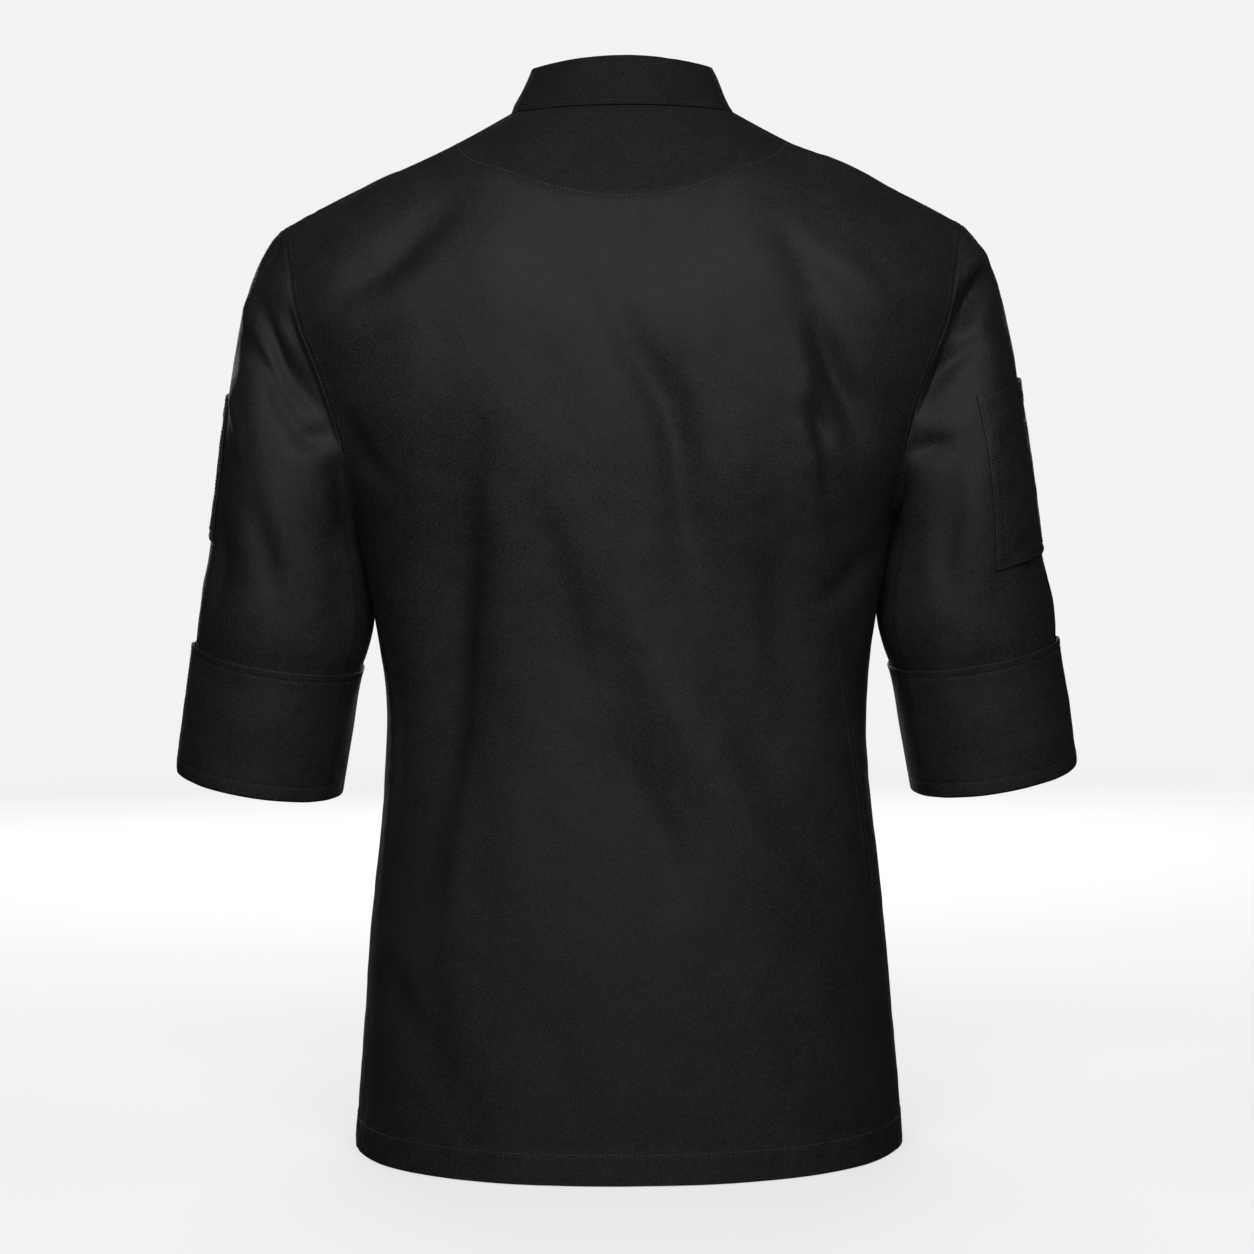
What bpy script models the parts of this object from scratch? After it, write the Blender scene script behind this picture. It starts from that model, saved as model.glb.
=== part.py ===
"""Chef jacket, hollow as if worn, with no wearer inside. Each cloth piece is a thin closed wall.

The jacket faces -Y, and the wearer's left is +X. The origin is the middle of the neck, level with
the points where the shoulder seams meet the collar. Sizes are in millimetres, angles in degrees,
and a mesh is turned into metres when it is made.

Every surface is a rule that gives a point for two parameters. A piece samples its rule on a grid,
and its wall is that grid and the same grid moved inwards by the cloth's thickness.
"""

import math
from collections import namedtuple

import bpy
import numpy as np

METRES_PER_MM = 0.001

# Cloth
CLOTH = 1.2
COLLAR_CLOTH = 2.4
CUFF_CLOTH = 2.0
POCKET_CLOTH = 1.3
SEAM_GAP = 0.3
POCKET_GAP = 0.65
LAP_RAISE = 3.2

# Neck and shoulders
NECK_HALF_WIDTH = 78.0
NECK_BACK_DEPTH = 58.0
NECK_BACK_RISE = 4.0
NECK_FRONT_DEPTH = 85.0
NECK_FRONT_DROP = 78.0
NECK_FRONT_POWER = 1.7
SHOULDER_TIP_X = 239.0
SHOULDER_TIP_Y = -6.0
SHOULDER_TIP_Z = -80.0
SHOULDER_WAVE = 1.6

# Armhole
UNDERARM_Z = -290.0
ARMHOLE_BACK = 62.0
ARMHOLE_FRONT = 69.0

# Body
HEM_Z = -731.0
SECTION_POWER = 2.25

TorsoSection = namedtuple("TorsoSection", "height half_width back_depth front_depth side_seam")
TORSO = (
    TorsoSection(HEM_Z, 195.0, 154.0, 138.0, 79.0),
    TorsoSection(-660.0, 190.5, 146.0, 134.0, 78.0),
    TorsoSection(-580.0, 183.5, 133.0, 129.0, 77.0),
    TorsoSection(-508.0, 176.0, 120.0, 125.0, 76.0),
    TorsoSection(-422.0, 170.5, 108.0, 122.0, 75.0),
    TorsoSection(-351.0, 177.5, 108.0, 126.0, 79.0),
    TorsoSection(UNDERARM_Z, 188.0, 115.0, 133.0, 90.0),
    TorsoSection(-240.0, 208.5, 120.0, 134.0, 90.0),
    TorsoSection(-190.0, 229.0, 121.0, 130.0, 90.0),
    TorsoSection(-140.0, 245.0, 118.0, 121.0, 90.0),
    TorsoSection(-80.0, 247.0, 112.0, 106.0, 90.0),
    TorsoSection(10.0, 247.0, 104.0, 92.0, 90.0),
)

# How the cloth rolls over from the top edge to the full depth below it
RollSection = namedtuple("RollSection", "across drop power")
BACK_ROLL = (
    RollSection(0.0, 150.0, 1.35),
    RollSection(45.0, 145.0, 1.5),
    RollSection(78.0, 122.0, 1.95),
    RollSection(115.0, 110.0, 2.0),
    RollSection(250.0, 80.0, 2.0),
)
FRONT_ROLL = (
    RollSection(0.0, 110.0, 1.6),
    RollSection(45.0, 118.0, 1.6),
    RollSection(78.0, 138.0, 1.65),
    RollSection(115.0, 118.0, 1.9),
    RollSection(150.0, 102.0, 2.0),
    RollSection(250.0, 80.0, 2.0),
)

# Front lap, from the centre front to the edge of each front
LAP = 85.0
LAP_STEP = 2.0
LAP_COLUMNS = 4
LAP_TOP_OVER = -80.0
LAP_TOP_UNDER = -98.0
LAP_TOP_SLOPE = 0.3
LAP_RAISED_TO = 88.0
LAP_FADE = 22.0

# Collar, a band that stands on the neckline
COLLAR_TOP_HALF_WIDTH = 62.5
COLLAR_TOP_BACK = 47.0
COLLAR_TOP_FRONT = 81.0
COLLAR_TOP_SHIFT = -5.0
COLLAR_RISE_BACK = 35.0
COLLAR_RISE_SIDE = 31.5
COLLAR_RISE_FRONT = 34.0
COLLAR_FOOT_GAP = 0.8
COLLAR_END_GAP = 1.5
COLLAR_CORNER = 13.0
COLLAR_CORNER_STEPS = 5
COLLAR_ROWS = 3

# Sleeves. A station is a ring across the arm, at a distance down from the underarm
ARM_LEAN_OUT = 9.0
ARM_LEAN_FORWARD = 4.0
SleeveStation = namedtuple("SleeveStation", "along inner_x inner_z outer_x outer_z centre_y half_depth")
SLEEVE = (
    SleeveStation(0.0, 186.9, -307.3, 292.3, -290.7, 0.0, 66.0),
    SleeveStation(23.0, 181.8, -331.0, 296.2, -313.0, -1.5, 65.5),
    SleeveStation(46.0, 179.4, -354.6, 300.9, -335.4, -3.0, 65.0),
    SleeveStation(70.0, 183.8, -378.1, 304.4, -358.9, -4.7, 64.0),
    SleeveStation(86.0, 189.1, -393.3, 306.0, -374.7, -5.8, 61.5),
    SleeveStation(131.0, 197.5, -437.7, 314.2, -419.3, -8.9, 60.5),
    SleeveStation(176.0, 205.5, -482.1, 320.0, -463.9, -12.0, 60.0),
)
CAP_START_TOP = (0.80, -0.60)
CAP_START_UNDER = (0.10, -0.99)
CAP_BULGE = 0.15
CAP_START_PULL = 0.62
CAP_END_PULL = 1.2
CAP_END_STEP = 4.0
CAP_FOLD_FADE = 0.25
CUFF_TOP_ALONG = 83.0
NORMAL_TURN = 0.5
NORMAL_ROW = 0.02
SEAM_NORMAL_REACH = 105.0
SEAM_NORMAL_FADE = 30.0

# Patch pockets: edges as angles round the sleeve and levels down the arm from the shoulder tip
PocketSize = namedtuple("PocketSize", "top bottom back_top back_bottom front_top front_bottom")
POCKET_RIGHT = PocketSize(112.0, 234.0, 70.0, 71.0, -27.0, -26.0)
POCKET_LEFT = PocketSize(120.0, 221.0, 12.0, 22.0, -62.0, -52.0)
POCKET_COLUMNS = 12
POCKET_ROWS = 8

# Buttons, in two columns of five
BUTTON_ACROSS = 70.0
BUTTON_FIRST_Z = -126.0
BUTTON_PITCH = 108.0
BUTTONS_A_COLUMN = 5
BUTTON_RADIUS = 10.0
BUTTON_SEAT = 0.4
BUTTON_SIDES = 20
ButtonRing = namedtuple("ButtonRing", "radius height")
BUTTON_PROFILE = (
    ButtonRing(BUTTON_RADIUS - 1.4, 0.0),
    ButtonRing(BUTTON_RADIUS, 1.3),
    ButtonRing(BUTTON_RADIUS - 0.6, 3.2),
    ButtonRing(BUTTON_RADIUS - 2.6, 3.4),
    ButtonRing(BUTTON_RADIUS - 4.0, 2.4),
)

# Colours
CLOTH_COLOUR = (0.020, 0.020, 0.021)
COLLAR_COLOUR = (0.017, 0.017, 0.018)
BUTTON_COLOUR = (0.012, 0.012, 0.012)
CLOTH_ROUGHNESS = 0.75
BUTTON_ROUGHNESS = 0.35
SMOOTH_ANGLE = 50.0

# Grids
NECK_CELLS = 5
SHOULDER_CELLS = 7
HALF_CELLS = NECK_CELLS + SHOULDER_CELLS
LOWER_ROWS = 16
UPPER_ROWS = 12
CAP_ROWS = 11
ARM_ROWS = 8
CUFF_ROWS = 4
NECK_SHARE = NECK_CELLS / HALF_CELLS

# Largest folds of the body: three points of each trough, its half-width, and its depth.
# A depth below zero is a ridge. Side is 1 on the back and -1 on the front.
BodyFold = namedtuple("BodyFold", "side top_x top_z middle_x middle_z foot_x foot_z width depth")
BODY_FOLDS = (
    BodyFold(1, 92, -165, 112, -330, 108, -610, 20, 6.0),
    BodyFold(1, 153, -560, 138, -630, 120, -700, 16, 3.0),
    BodyFold(1, -6, -125, -50, -330, -128, -530, 26, 5.0),
    BodyFold(1, 43, -250, -30, -400, -130, -570, 28, -4.0),
    BodyFold(1, -115, -95, -152, -180, -165, -255, 20, 4.0),
    BodyFold(1, 205, -130, 165, -95, 112, -62, 20, 3.5),
    BodyFold(-1, 150, -150, 128, -230, 112, -330, 22, 4.5),
    BodyFold(-1, -148, -160, -132, -250, -118, -350, 22, 4.5),
    BodyFold(-1, 140, -400, 118, -520, 112, -660, 22, 4.0),
    BodyFold(-1, -132, -420, -120, -560, -125, -680, 24, 4.5),
)
FOLD_SAMPLES = 40
FOLD_FULLNESS = 0.6
SEAM_SHARE = 0.93
SIDE_FADE = 0.12
TOP_FADE = 45.0

# Largest folds of the sleeves, given by angle round the sleeve and level down the arm
SleeveFold = namedtuple("SleeveFold", "hand top_angle top_level foot_angle foot_level width depth")
SLEEVE_FOLDS = (
    SleeveFold(1, 32, 52, 112, 122, 11, 4.0),
    SleeveFold(1, 28, 76, 92, 143, 11, 3.0),
    SleeveFold(-1, 42, 42, 82, 72, 11, 3.5),
    SleeveFold(-1, 52, 82, 106, 124, 11, 4.0),
    SleeveFold(1, -70, 70, -118, 125, 12, 3.5),
    SleeveFold(-1, -62, 62, -112, 118, 12, 3.5),
)


# Helpers -------------------------------------------------------------------------------------


def smooth_table(rows, key, value):
    """A smooth curve of one column of a table against another, held level past both ends."""
    places = np.array([getattr(row, key) for row in rows], float)
    values = np.array([getattr(row, value) for row in rows], float)
    slopes = np.gradient(values, places)

    def curve(place):
        place = np.clip(place, places[0], places[-1])
        index = np.clip(np.searchsorted(places, place, side="right") - 1, 0, len(places) - 2)
        step = places[index + 1] - places[index]
        part = (place - places[index]) / step
        rest = 1 - part
        from_start = values[index] * (1 + 2 * part) * rest**2 + slopes[index] * step * part * rest**2
        from_end = values[index + 1] * (1 + 2 * rest) * part**2 - slopes[index + 1] * step * rest * part**2
        return from_start + from_end

    return curve


def unit(vectors):
    """Vectors of length one, along the last axis."""
    return vectors / np.linalg.norm(vectors, axis=-1, keepdims=True)


def ease(part):
    """0 to 1 with level ends."""
    part = np.clip(part, 0, 1)
    return part * part * (3 - 2 * part)


def solve_falling(rule, target, low, high):
    """The value between low and high where a falling rule reaches the target."""
    for _ in range(50):
        middle = (low + high) / 2
        above = rule(middle) > target
        low = np.where(above, middle, low)
        high = np.where(above, high, middle)
    return (low + high) / 2


def grid_normals(points, centre):
    """Normals of a grid of points, facing away from the centre."""
    normals = unit(np.cross(np.gradient(points, axis=1), np.gradient(points, axis=0)))
    facing = np.sum(normals * (points - centre))
    return normals if facing > 0 else -normals


def fold_depth(points_a, points_b, path_a, path_b, width, depth):
    """Depth at each place of one fold, given by its path on the surface."""
    along = (np.arange(FOLD_SAMPLES) + 0.5) / FOLD_SAMPLES
    swell = np.sin(np.pi * along) ** FOLD_FULLNESS
    total = np.zeros(np.shape(points_a))
    for place_a, place_b, strength in zip(path_a(along), path_b(along), swell):
        near = np.exp(-((points_a - place_a) ** 2 + (points_b - place_b) ** 2) / width**2)
        total = np.maximum(total, strength * near)
    return depth * total


def through_three(first, middle, last):
    """A curve that starts at the first value, passes near the middle one and ends at the last."""
    return lambda part: first * (1 - part) ** 2 + 2 * middle * part * (1 - part) + last * part**2


# The body's surface --------------------------------------------------------------------------

half_width_at = smooth_table(TORSO, "height", "half_width")
back_depth_at = smooth_table(TORSO, "height", "back_depth")
front_depth_at = smooth_table(TORSO, "height", "front_depth")
side_seam_at = smooth_table(TORSO, "height", "side_seam")
ROLLS = {1: BACK_ROLL, -1: FRONT_ROLL}
roll_drop_at = {side: smooth_table(roll, "across", "drop") for side, roll in ROLLS.items()}
roll_power_at = {side: smooth_table(roll, "across", "power") for side, roll in ROLLS.items()}


def section_depth(fraction):
    """Depth of a torso section as a share of its greatest, at a share of its half-width."""
    inside = 1 - np.abs(np.clip(fraction, -1, 1)) ** SECTION_POWER
    return inside ** (1 / SECTION_POWER)


def full_depth(x, z, side):
    """Depth of the torso where the cloth has rolled over fully. Side is 1 behind, -1 in front."""
    greatest = back_depth_at(z) if side > 0 else front_depth_at(z)
    return side * greatest * section_depth(x / half_width_at(z))


def top_edge(x, side):
    """Depth and height of the edge where a panel ends: its neckline, then its shoulder seam."""
    along = (np.abs(x) - NECK_HALF_WIDTH) / (SHOULDER_TIP_X - NECK_HALF_WIDTH)
    seam_y = SHOULDER_TIP_Y * along
    seam_z = SHOULDER_TIP_Z * along - SHOULDER_WAVE * np.sin(2 * np.pi * np.clip(along, 0, 1))
    round_neck = np.sqrt(np.clip(1 - (x / NECK_HALF_WIDTH) ** 2, 0, 1))
    if side > 0:
        neck_y = NECK_BACK_DEPTH * round_neck
        neck_z = NECK_BACK_RISE * round_neck**2
    else:
        neck_y = -NECK_FRONT_DEPTH * round_neck
        neck_z = -NECK_FRONT_DROP * round_neck**NECK_FRONT_POWER
    on_neck = np.abs(x) < NECK_HALF_WIDTH
    return np.where(on_neck, neck_y, seam_y), np.where(on_neck, neck_z, seam_z)


def body_depth(x, z, side):
    """Depth of the body's surface at a place seen from behind or from the front."""
    edge_y, edge_z = top_edge(x, side)
    power = roll_power_at[side](np.abs(x))
    below = np.clip((edge_z - z) / roll_drop_at[side](np.abs(x)), 0, 1)
    rolled = (1 - (1 - below) ** power) ** (1 / power)
    return edge_y + (full_depth(x, z, side) - edge_y) * rolled


def armhole_point(angle):
    """Point of the left armhole's edge. 0 is the shoulder tip, 90 the back, 180 the underarm."""
    turn = np.radians(angle)
    middle_z = (SHOULDER_TIP_Z + UNDERARM_Z) / 2
    z = middle_z + (SHOULDER_TIP_Z - UNDERARM_Z) / 2 * np.cos(turn)
    centre_y = SHOULDER_TIP_Y * (1 + np.cos(turn)) / 2
    points = []
    for side, reach in ((1, ARMHOLE_BACK), (-1, ARMHOLE_FRONT)):
        y = centre_y + reach * np.sin(turn)
        x = solve_falling(lambda a: side * body_depth(a, z, side), side * y, 150.0, half_width_at(z))
        points.append(np.stack([x, y, z], axis=-1))
    point = np.where((np.sin(turn) >= 0)[..., None], points[0], points[1])
    at_tip = np.isclose(np.cos(turn), 1)[..., None]
    return np.where(at_tip, (SHOULDER_TIP_X, SHOULDER_TIP_Y, SHOULDER_TIP_Z), point)


def top_x(part):
    """Place across of the top edge's points, from 0 at the centre to 1 at the shoulder tip."""
    neck = NECK_HALF_WIDTH * np.sin(np.pi / 2 * np.clip(part / NECK_SHARE, 0, 1))
    along = (part - NECK_SHARE) / (1 - NECK_SHARE)
    return np.where(part <= NECK_SHARE, neck, NECK_HALF_WIDTH + (SHOULDER_TIP_X - NECK_HALF_WIDTH) * along)


def fade_at_seams(x, z, side):
    """1 inside the body and 0 at its side seams, armholes, shoulders and neckline."""
    side_room = SEAM_SHARE - np.abs(x) / half_width_at(z)
    top_room = top_edge(x, side)[1] - z
    return ease(side_room / SIDE_FADE) * ease(top_room / TOP_FADE)


def body_folds(x, z, side):
    """Depth of all the folds of one side of the body."""
    total = np.zeros(np.shape(x))
    for fold in BODY_FOLDS:
        if fold.side == side:
            path_x = through_three(fold.top_x, fold.middle_x, fold.foot_x)
            path_z = through_three(fold.top_z, fold.middle_z, fold.foot_z)
            total = total + fold_depth(x, z, path_x, path_z, fold.width, fold.depth)
    return total * fade_at_seams(x, z, side)


def half_panel(parts, side):
    """Grid of the half of the body on +X: rows from the hem up, columns from the centre outwards."""
    lower_z = np.linspace(HEM_Z, UNDERARM_Z, LOWER_ROWS + 1)[:-1, None]
    turn = side_seam_at(lower_z)
    angle = np.radians(turn * parts if side > 0 else 180 - (180 - turn) * parts)
    lower_x = half_width_at(lower_z) * np.sin(angle)
    greatest = np.where(np.cos(angle) > 0, back_depth_at(lower_z), -front_depth_at(lower_z))
    lower_y = greatest * section_depth(np.sin(angle))
    lower = np.stack([lower_x, lower_y, lower_z + 0 * lower_x], axis=-1)

    up = np.linspace(0, 1, UPPER_ROWS + 1)[:, None]
    seam = armhole_point(180 * (1 - up[:, 0]) * side)
    settle = ease(up)
    spread = (1 - settle) * np.sin(np.pi / 2 * parts) + settle * top_x(parts) / SHOULDER_TIP_X
    upper_x = seam[:, None, 0] * spread
    near_seam = parts**4
    climb = (1 - near_seam) * up + near_seam * (1 - np.cos(np.pi * up)) / 2
    upper_z = UNDERARM_Z + (top_edge(top_x(parts), side)[1] - UNDERARM_Z) * climb
    upper = np.stack([upper_x, body_depth(upper_x, upper_z, side), upper_z], axis=-1)
    upper[:, parts == 1] = seam[:, None]
    return np.concatenate([lower, upper])


def lap_panel(top_z):
    """Grid of a front's lap past the centre, on -X, from its edge to next to the centre."""
    across = np.concatenate([np.linspace(LAP, 0, LAP_COLUMNS + 1)[:-1], [LAP_STEP]])
    lower_z = np.linspace(HEM_Z, UNDERARM_Z, LOWER_ROWS + 1)[:-1, None] + 0 * across
    up = np.linspace(0, 1, UPPER_ROWS + 1)[:, None]
    edge_z = top_z - LAP_TOP_SLOPE * across
    z = np.concatenate([lower_z, UNDERARM_Z + (edge_z - UNDERARM_Z) * up])
    x = -across + 0 * z
    return np.stack([x, body_depth(x, z, -1), z], axis=-1)


# Meshes --------------------------------------------------------------------------------------


def material(name, colour, roughness):
    """Principled material of one piece."""
    made = bpy.data.materials.new(name)
    made.use_nodes = True
    shader = made.node_tree.nodes["Principled BSDF"]
    shader.inputs["Base Color"].default_value = (*colour, 1.0)
    shader.inputs["Roughness"].default_value = roughness
    shader.inputs["Metallic"].default_value = 0.0
    return made


def make_object(name, points, faces, colour, roughness):
    """Named object from points in millimetres."""
    mesh = bpy.data.meshes.new(name)
    mesh.from_pydata((np.asarray(points) * METRES_PER_MM).tolist(), [], faces)
    mesh.materials.append(material(name, colour, roughness))
    mesh.shade_smooth()
    mesh.set_sharp_from_angle(angle=math.radians(SMOOTH_ANGLE))
    made = bpy.data.objects.new(name, mesh)
    bpy.context.scene.collection.objects.link(made)
    return made


def signed_volume(points, faces):
    """Volume of a closed mesh, below zero where its faces point in."""
    corners = np.asarray(points)[np.asarray(faces)]
    return np.linalg.det(corners).sum() / 6


def wall(name, outer, inner, closed=False, colour=CLOTH_COLOUR, roughness=CLOTH_ROUGHNESS):
    """Closed wall between two grids. A closed grid joins its last column to its first."""
    rows, columns = outer.shape[:2]
    count = rows * columns
    points = np.concatenate([outer.reshape(-1, 3), inner.reshape(-1, 3)])
    faces = []

    def quad(a, b, c, d):
        faces.append((a, b, c))
        faces.append((a, c, d))

    def at(row, column):
        return row * columns + column % columns

    for row in range(rows - 1):
        for column in range(columns if closed else columns - 1):
            a = at(row, column)
            b = at(row, column + 1)
            c = at(row + 1, column + 1)
            d = at(row + 1, column)
            quad(a, b, c, d)
            faces.append((count + a, count + c, count + b))
            faces.append((count + a, count + d, count + c))
    for column in range(columns if closed else columns - 1):
        for row, turn in ((0, 1), (rows - 1, -1)):
            a, b = (at(row, column), at(row, column + 1))[::turn]
            quad(b, a, count + a, count + b)
    if not closed:
        for row in range(rows - 1):
            for column, turn in ((0, -1), (columns - 1, 1)):
                a, b = (at(row, column), at(row + 1, column))[::turn]
                quad(b, a, count + a, count + b)
    if signed_volume(points, faces) < 0:
        faces = [face[::-1] for face in faces]
    return make_object(name, points, faces, colour, roughness)


# Pieces --------------------------------------------------------------------------------------


def shoulder_normals(normals, grid, columns):
    """Normals along a shoulder seam, the same for both panels that meet there."""
    slope = -SHOULDER_TIP_Z / (SHOULDER_TIP_X - NECK_HALF_WIDTH)
    side = np.sign(grid[-1, columns, 0])
    normals[-1, columns] = unit(np.stack([slope * side, 0 * side, 0 * side + 1], axis=-1))


def share_side_normals(back_normals, front_normals, column, mirror):
    """Gives the back and a front on +X the same normals along the side seam where they meet."""
    rows = slice(0, LOWER_ROWS + 1)
    shared = unit(back_normals[rows, column] * mirror + front_normals[rows, -1])
    back_normals[rows, column] = shared * mirror
    front_normals[rows, -1] = shared


def part_seams(grid, side, columns, seam_columns):
    """Moves a panel's shoulder and side edges half a seam gap away from its neighbour's."""
    grid[-1, columns, 1] += side * SEAM_GAP / 2
    for column in seam_columns:
        grid[: LOWER_ROWS + 1, column, 1] += side * SEAM_GAP / 2
    return grid


def back_panel():
    """Grid and normals of the back, from the right side seam to the left one."""
    parts = np.linspace(0, 1, HALF_CELLS + 1)
    half = half_panel(parts, 1)
    mirrored = half[:, :0:-1] * (-1, 1, 1)
    grid = np.concatenate([mirrored, half], axis=1)
    shoulders = np.r_[0 : SHOULDER_CELLS + 1, 2 * HALF_CELLS - SHOULDER_CELLS : 2 * HALF_CELLS + 1]
    centre = (0, 0, HEM_Z / 2)
    normals = grid_normals(grid, centre)
    depth = body_folds(grid[..., 0], grid[..., 2], 1)
    grid = grid - normals * depth[..., None]
    normals = grid_normals(grid, centre)
    shoulder_normals(normals, grid, shoulders)
    part_seams(grid, 1, shoulders, (0, -1))
    return grid, normals


def front_panel(over):
    """Grid and normals of a front on +X, from its lap's edge to its side seam."""
    parts = np.linspace(0, 1, HALF_CELLS + 1)
    half = half_panel(parts, -1)
    lap = lap_panel(LAP_TOP_OVER if over else LAP_TOP_UNDER)
    grid = np.concatenate([lap, half], axis=1)
    shoulders = np.arange(grid.shape[1] - SHOULDER_CELLS - 1, grid.shape[1])
    centre = (0, 0, HEM_Z / 2)
    normals = grid_normals(grid, centre)
    hand = 1 if over else -1
    depth = body_folds(grid[..., 0] * hand, grid[..., 2], -1)
    if over:
        raised = 1 - ease((grid[..., 0] - LAP_RAISED_TO) / LAP_FADE)
        raised[-1] = 1 - ease((grid[-1, :, 0] - LAP_STEP) / LAP_FADE)
        depth = depth - LAP_RAISE * raised
    grid = grid - normals * depth[..., None]
    normals = grid_normals(grid, centre)
    shoulder_normals(normals, grid, shoulders)
    part_seams(grid, -1, shoulders, (-1,))
    return grid, normals


SLEEVE_INNER = [smooth_table(SLEEVE, "along", name) for name in ("inner_x", "centre_y", "inner_z")]
SLEEVE_OUTER = [smooth_table(SLEEVE, "along", name) for name in ("outer_x", "centre_y", "outer_z")]
SLEEVE_HALF_DEPTH = smooth_table(SLEEVE, "along", "half_depth")
SLEEVE_END = SLEEVE[-1].along


def sleeve_ring(angle, along):
    """Point of the left sleeve's outside below the underarm."""
    turn = np.radians(angle)[..., None]
    forward = math.radians(ARM_LEAN_FORWARD)
    backwards = np.array([0, math.cos(forward), -math.sin(forward)])
    inner = np.stack([curve(along) for curve in SLEEVE_INNER], axis=-1)
    outer = np.stack([curve(along) for curve in SLEEVE_OUTER], axis=-1)
    deep = SLEEVE_HALF_DEPTH(along)[..., None] * backwards
    return (inner + outer) / 2 + (outer - inner) / 2 * np.cos(turn) + deep * np.sin(turn)


def sleeve_point(angle, row):
    """Point of the left sleeve's outside. Row 0 is the armhole, 1 the underarm and 2 the hem."""
    angle, row = np.broadcast_arrays(np.asarray(angle, float), np.asarray(row, float))
    turn = np.radians(angle)
    start = armhole_point(angle) + (SEAM_GAP, 0, 0)
    end = sleeve_ring(angle, np.zeros(angle.shape))
    high = ((1 + np.cos(turn)) / 2)[..., None]
    leave = high * np.array([CAP_START_TOP[0], 0, CAP_START_TOP[1]])
    leave = leave + (1 - high) * np.array([CAP_START_UNDER[0], 0, CAP_START_UNDER[1]])
    leave[..., 1] = CAP_BULGE * np.sin(turn)
    arrive = sleeve_ring(angle, np.full(angle.shape, CAP_END_STEP)) - end
    distance = np.linalg.norm(end - start, axis=-1, keepdims=True)
    part = np.clip(row, 0, 1)[..., None]
    rest = 1 - part
    cap = start * (1 + 2 * part) * rest**2 + end * (1 + 2 * rest) * part**2
    cap = cap + unit(leave) * distance * CAP_START_PULL * part * rest**2
    cap = cap - unit(arrive) * distance * CAP_END_PULL * rest * part**2
    arm = sleeve_ring(angle, np.clip(row - 1, 0, 1) * SLEEVE_END)
    return np.where((row <= 1)[..., None], cap, arm)


def arm_level(point):
    """Distance of a point down the arm from the shoulder tip."""
    lean = math.radians(ARM_LEAN_OUT)
    forward = math.radians(ARM_LEAN_FORWARD)
    down = unit(np.array([math.sin(lean), -math.sin(forward), -math.cos(lean)]))
    return (point - (SHOULDER_TIP_X, SHOULDER_TIP_Y, SHOULDER_TIP_Z)) @ down


def sleeve_row_at(angle, level):
    """Row of the sleeve where it is at a level down the arm."""

    def height(row):
        return -arm_level(sleeve_point(angle, row))

    return solve_falling(height, -level, np.zeros(np.shape(level)), np.full(np.shape(level), 2.0))


def sleeve_folds(angle, level, hand):
    """Depth of the folds of one sleeve, at an angle and a level down the arm."""
    around = np.radians((angle + 180) % 360 - 180) * SLEEVE[0].half_depth
    total = np.zeros(np.shape(angle))
    for fold in SLEEVE_FOLDS:
        if fold.hand == hand:
            top = math.radians(fold.top_angle) * SLEEVE[0].half_depth
            foot = math.radians(fold.foot_angle) * SLEEVE[0].half_depth
            path_a = through_three(top, (top + foot) / 2, foot)
            path_b = through_three(fold.top_level, (fold.top_level + fold.foot_level) / 2, fold.foot_level)
            total = total + fold_depth(around, level, path_a, path_b, fold.width, fold.depth)
    return total


def sleeve_surface(angle, row, hand):
    """Point of the sleeve with its folds. The folds fade out at the armhole."""
    point = sleeve_point(angle, row)
    across = sleeve_point(angle + NORMAL_TURN, row) - sleeve_point(angle - NORMAL_TURN, row)
    below = np.clip(row + NORMAL_ROW, 0, 2)
    above = np.clip(row - NORMAL_ROW, 0, 2)
    down = sleeve_point(angle, below) - sleeve_point(angle, above)
    normal = unit(np.cross(down, across))
    depth = sleeve_folds(angle, arm_level(point), hand) * ease(row / CAP_FOLD_FADE)
    return point - normal * depth[..., None], normal


def sleeve_pieces(hand, seam_normals):
    """Sleeve and its turned-back cuff. Hand is 1 on the wearer's left."""
    angles = np.arange(0, 360, 180 / UPPER_ROWS)
    cuff_row = 1 + CUFF_TOP_ALONG / SLEEVE_END
    cap_rows = np.linspace(0, 1, CAP_ROWS + 1)
    arm_rows = np.linspace(1, cuff_row, ARM_ROWS - CUFF_ROWS + 1)[1:]
    cuff_rows = np.linspace(cuff_row, 2, CUFF_ROWS + 1)
    rows = np.concatenate([cap_rows, arm_rows, cuff_rows[1:]])
    outer, normals = sleeve_surface(*np.meshgrid(angles, rows), hand)
    from_top = np.abs((angles + 180) % 360 - 180)
    near_top = ease((SEAM_NORMAL_REACH - from_top) / SEAM_NORMAL_FADE)[:, None]
    normals[0] = unit(near_top * seam_normals + (1 - near_top) * normals[0])
    mirror = np.array([hand, 1, 1])
    which = "left" if hand > 0 else "right"
    wall(f"sleeve_{which}", outer * mirror, (outer - normals * CLOTH) * mirror, closed=True)

    base, normals = sleeve_surface(*np.meshgrid(angles, cuff_rows), hand)
    inner = base + normals * SEAM_GAP
    outer = base + normals * (SEAM_GAP + CUFF_CLOTH)
    wall(f"cuff_{which}", outer * mirror, inner * mirror, closed=True)


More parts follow.
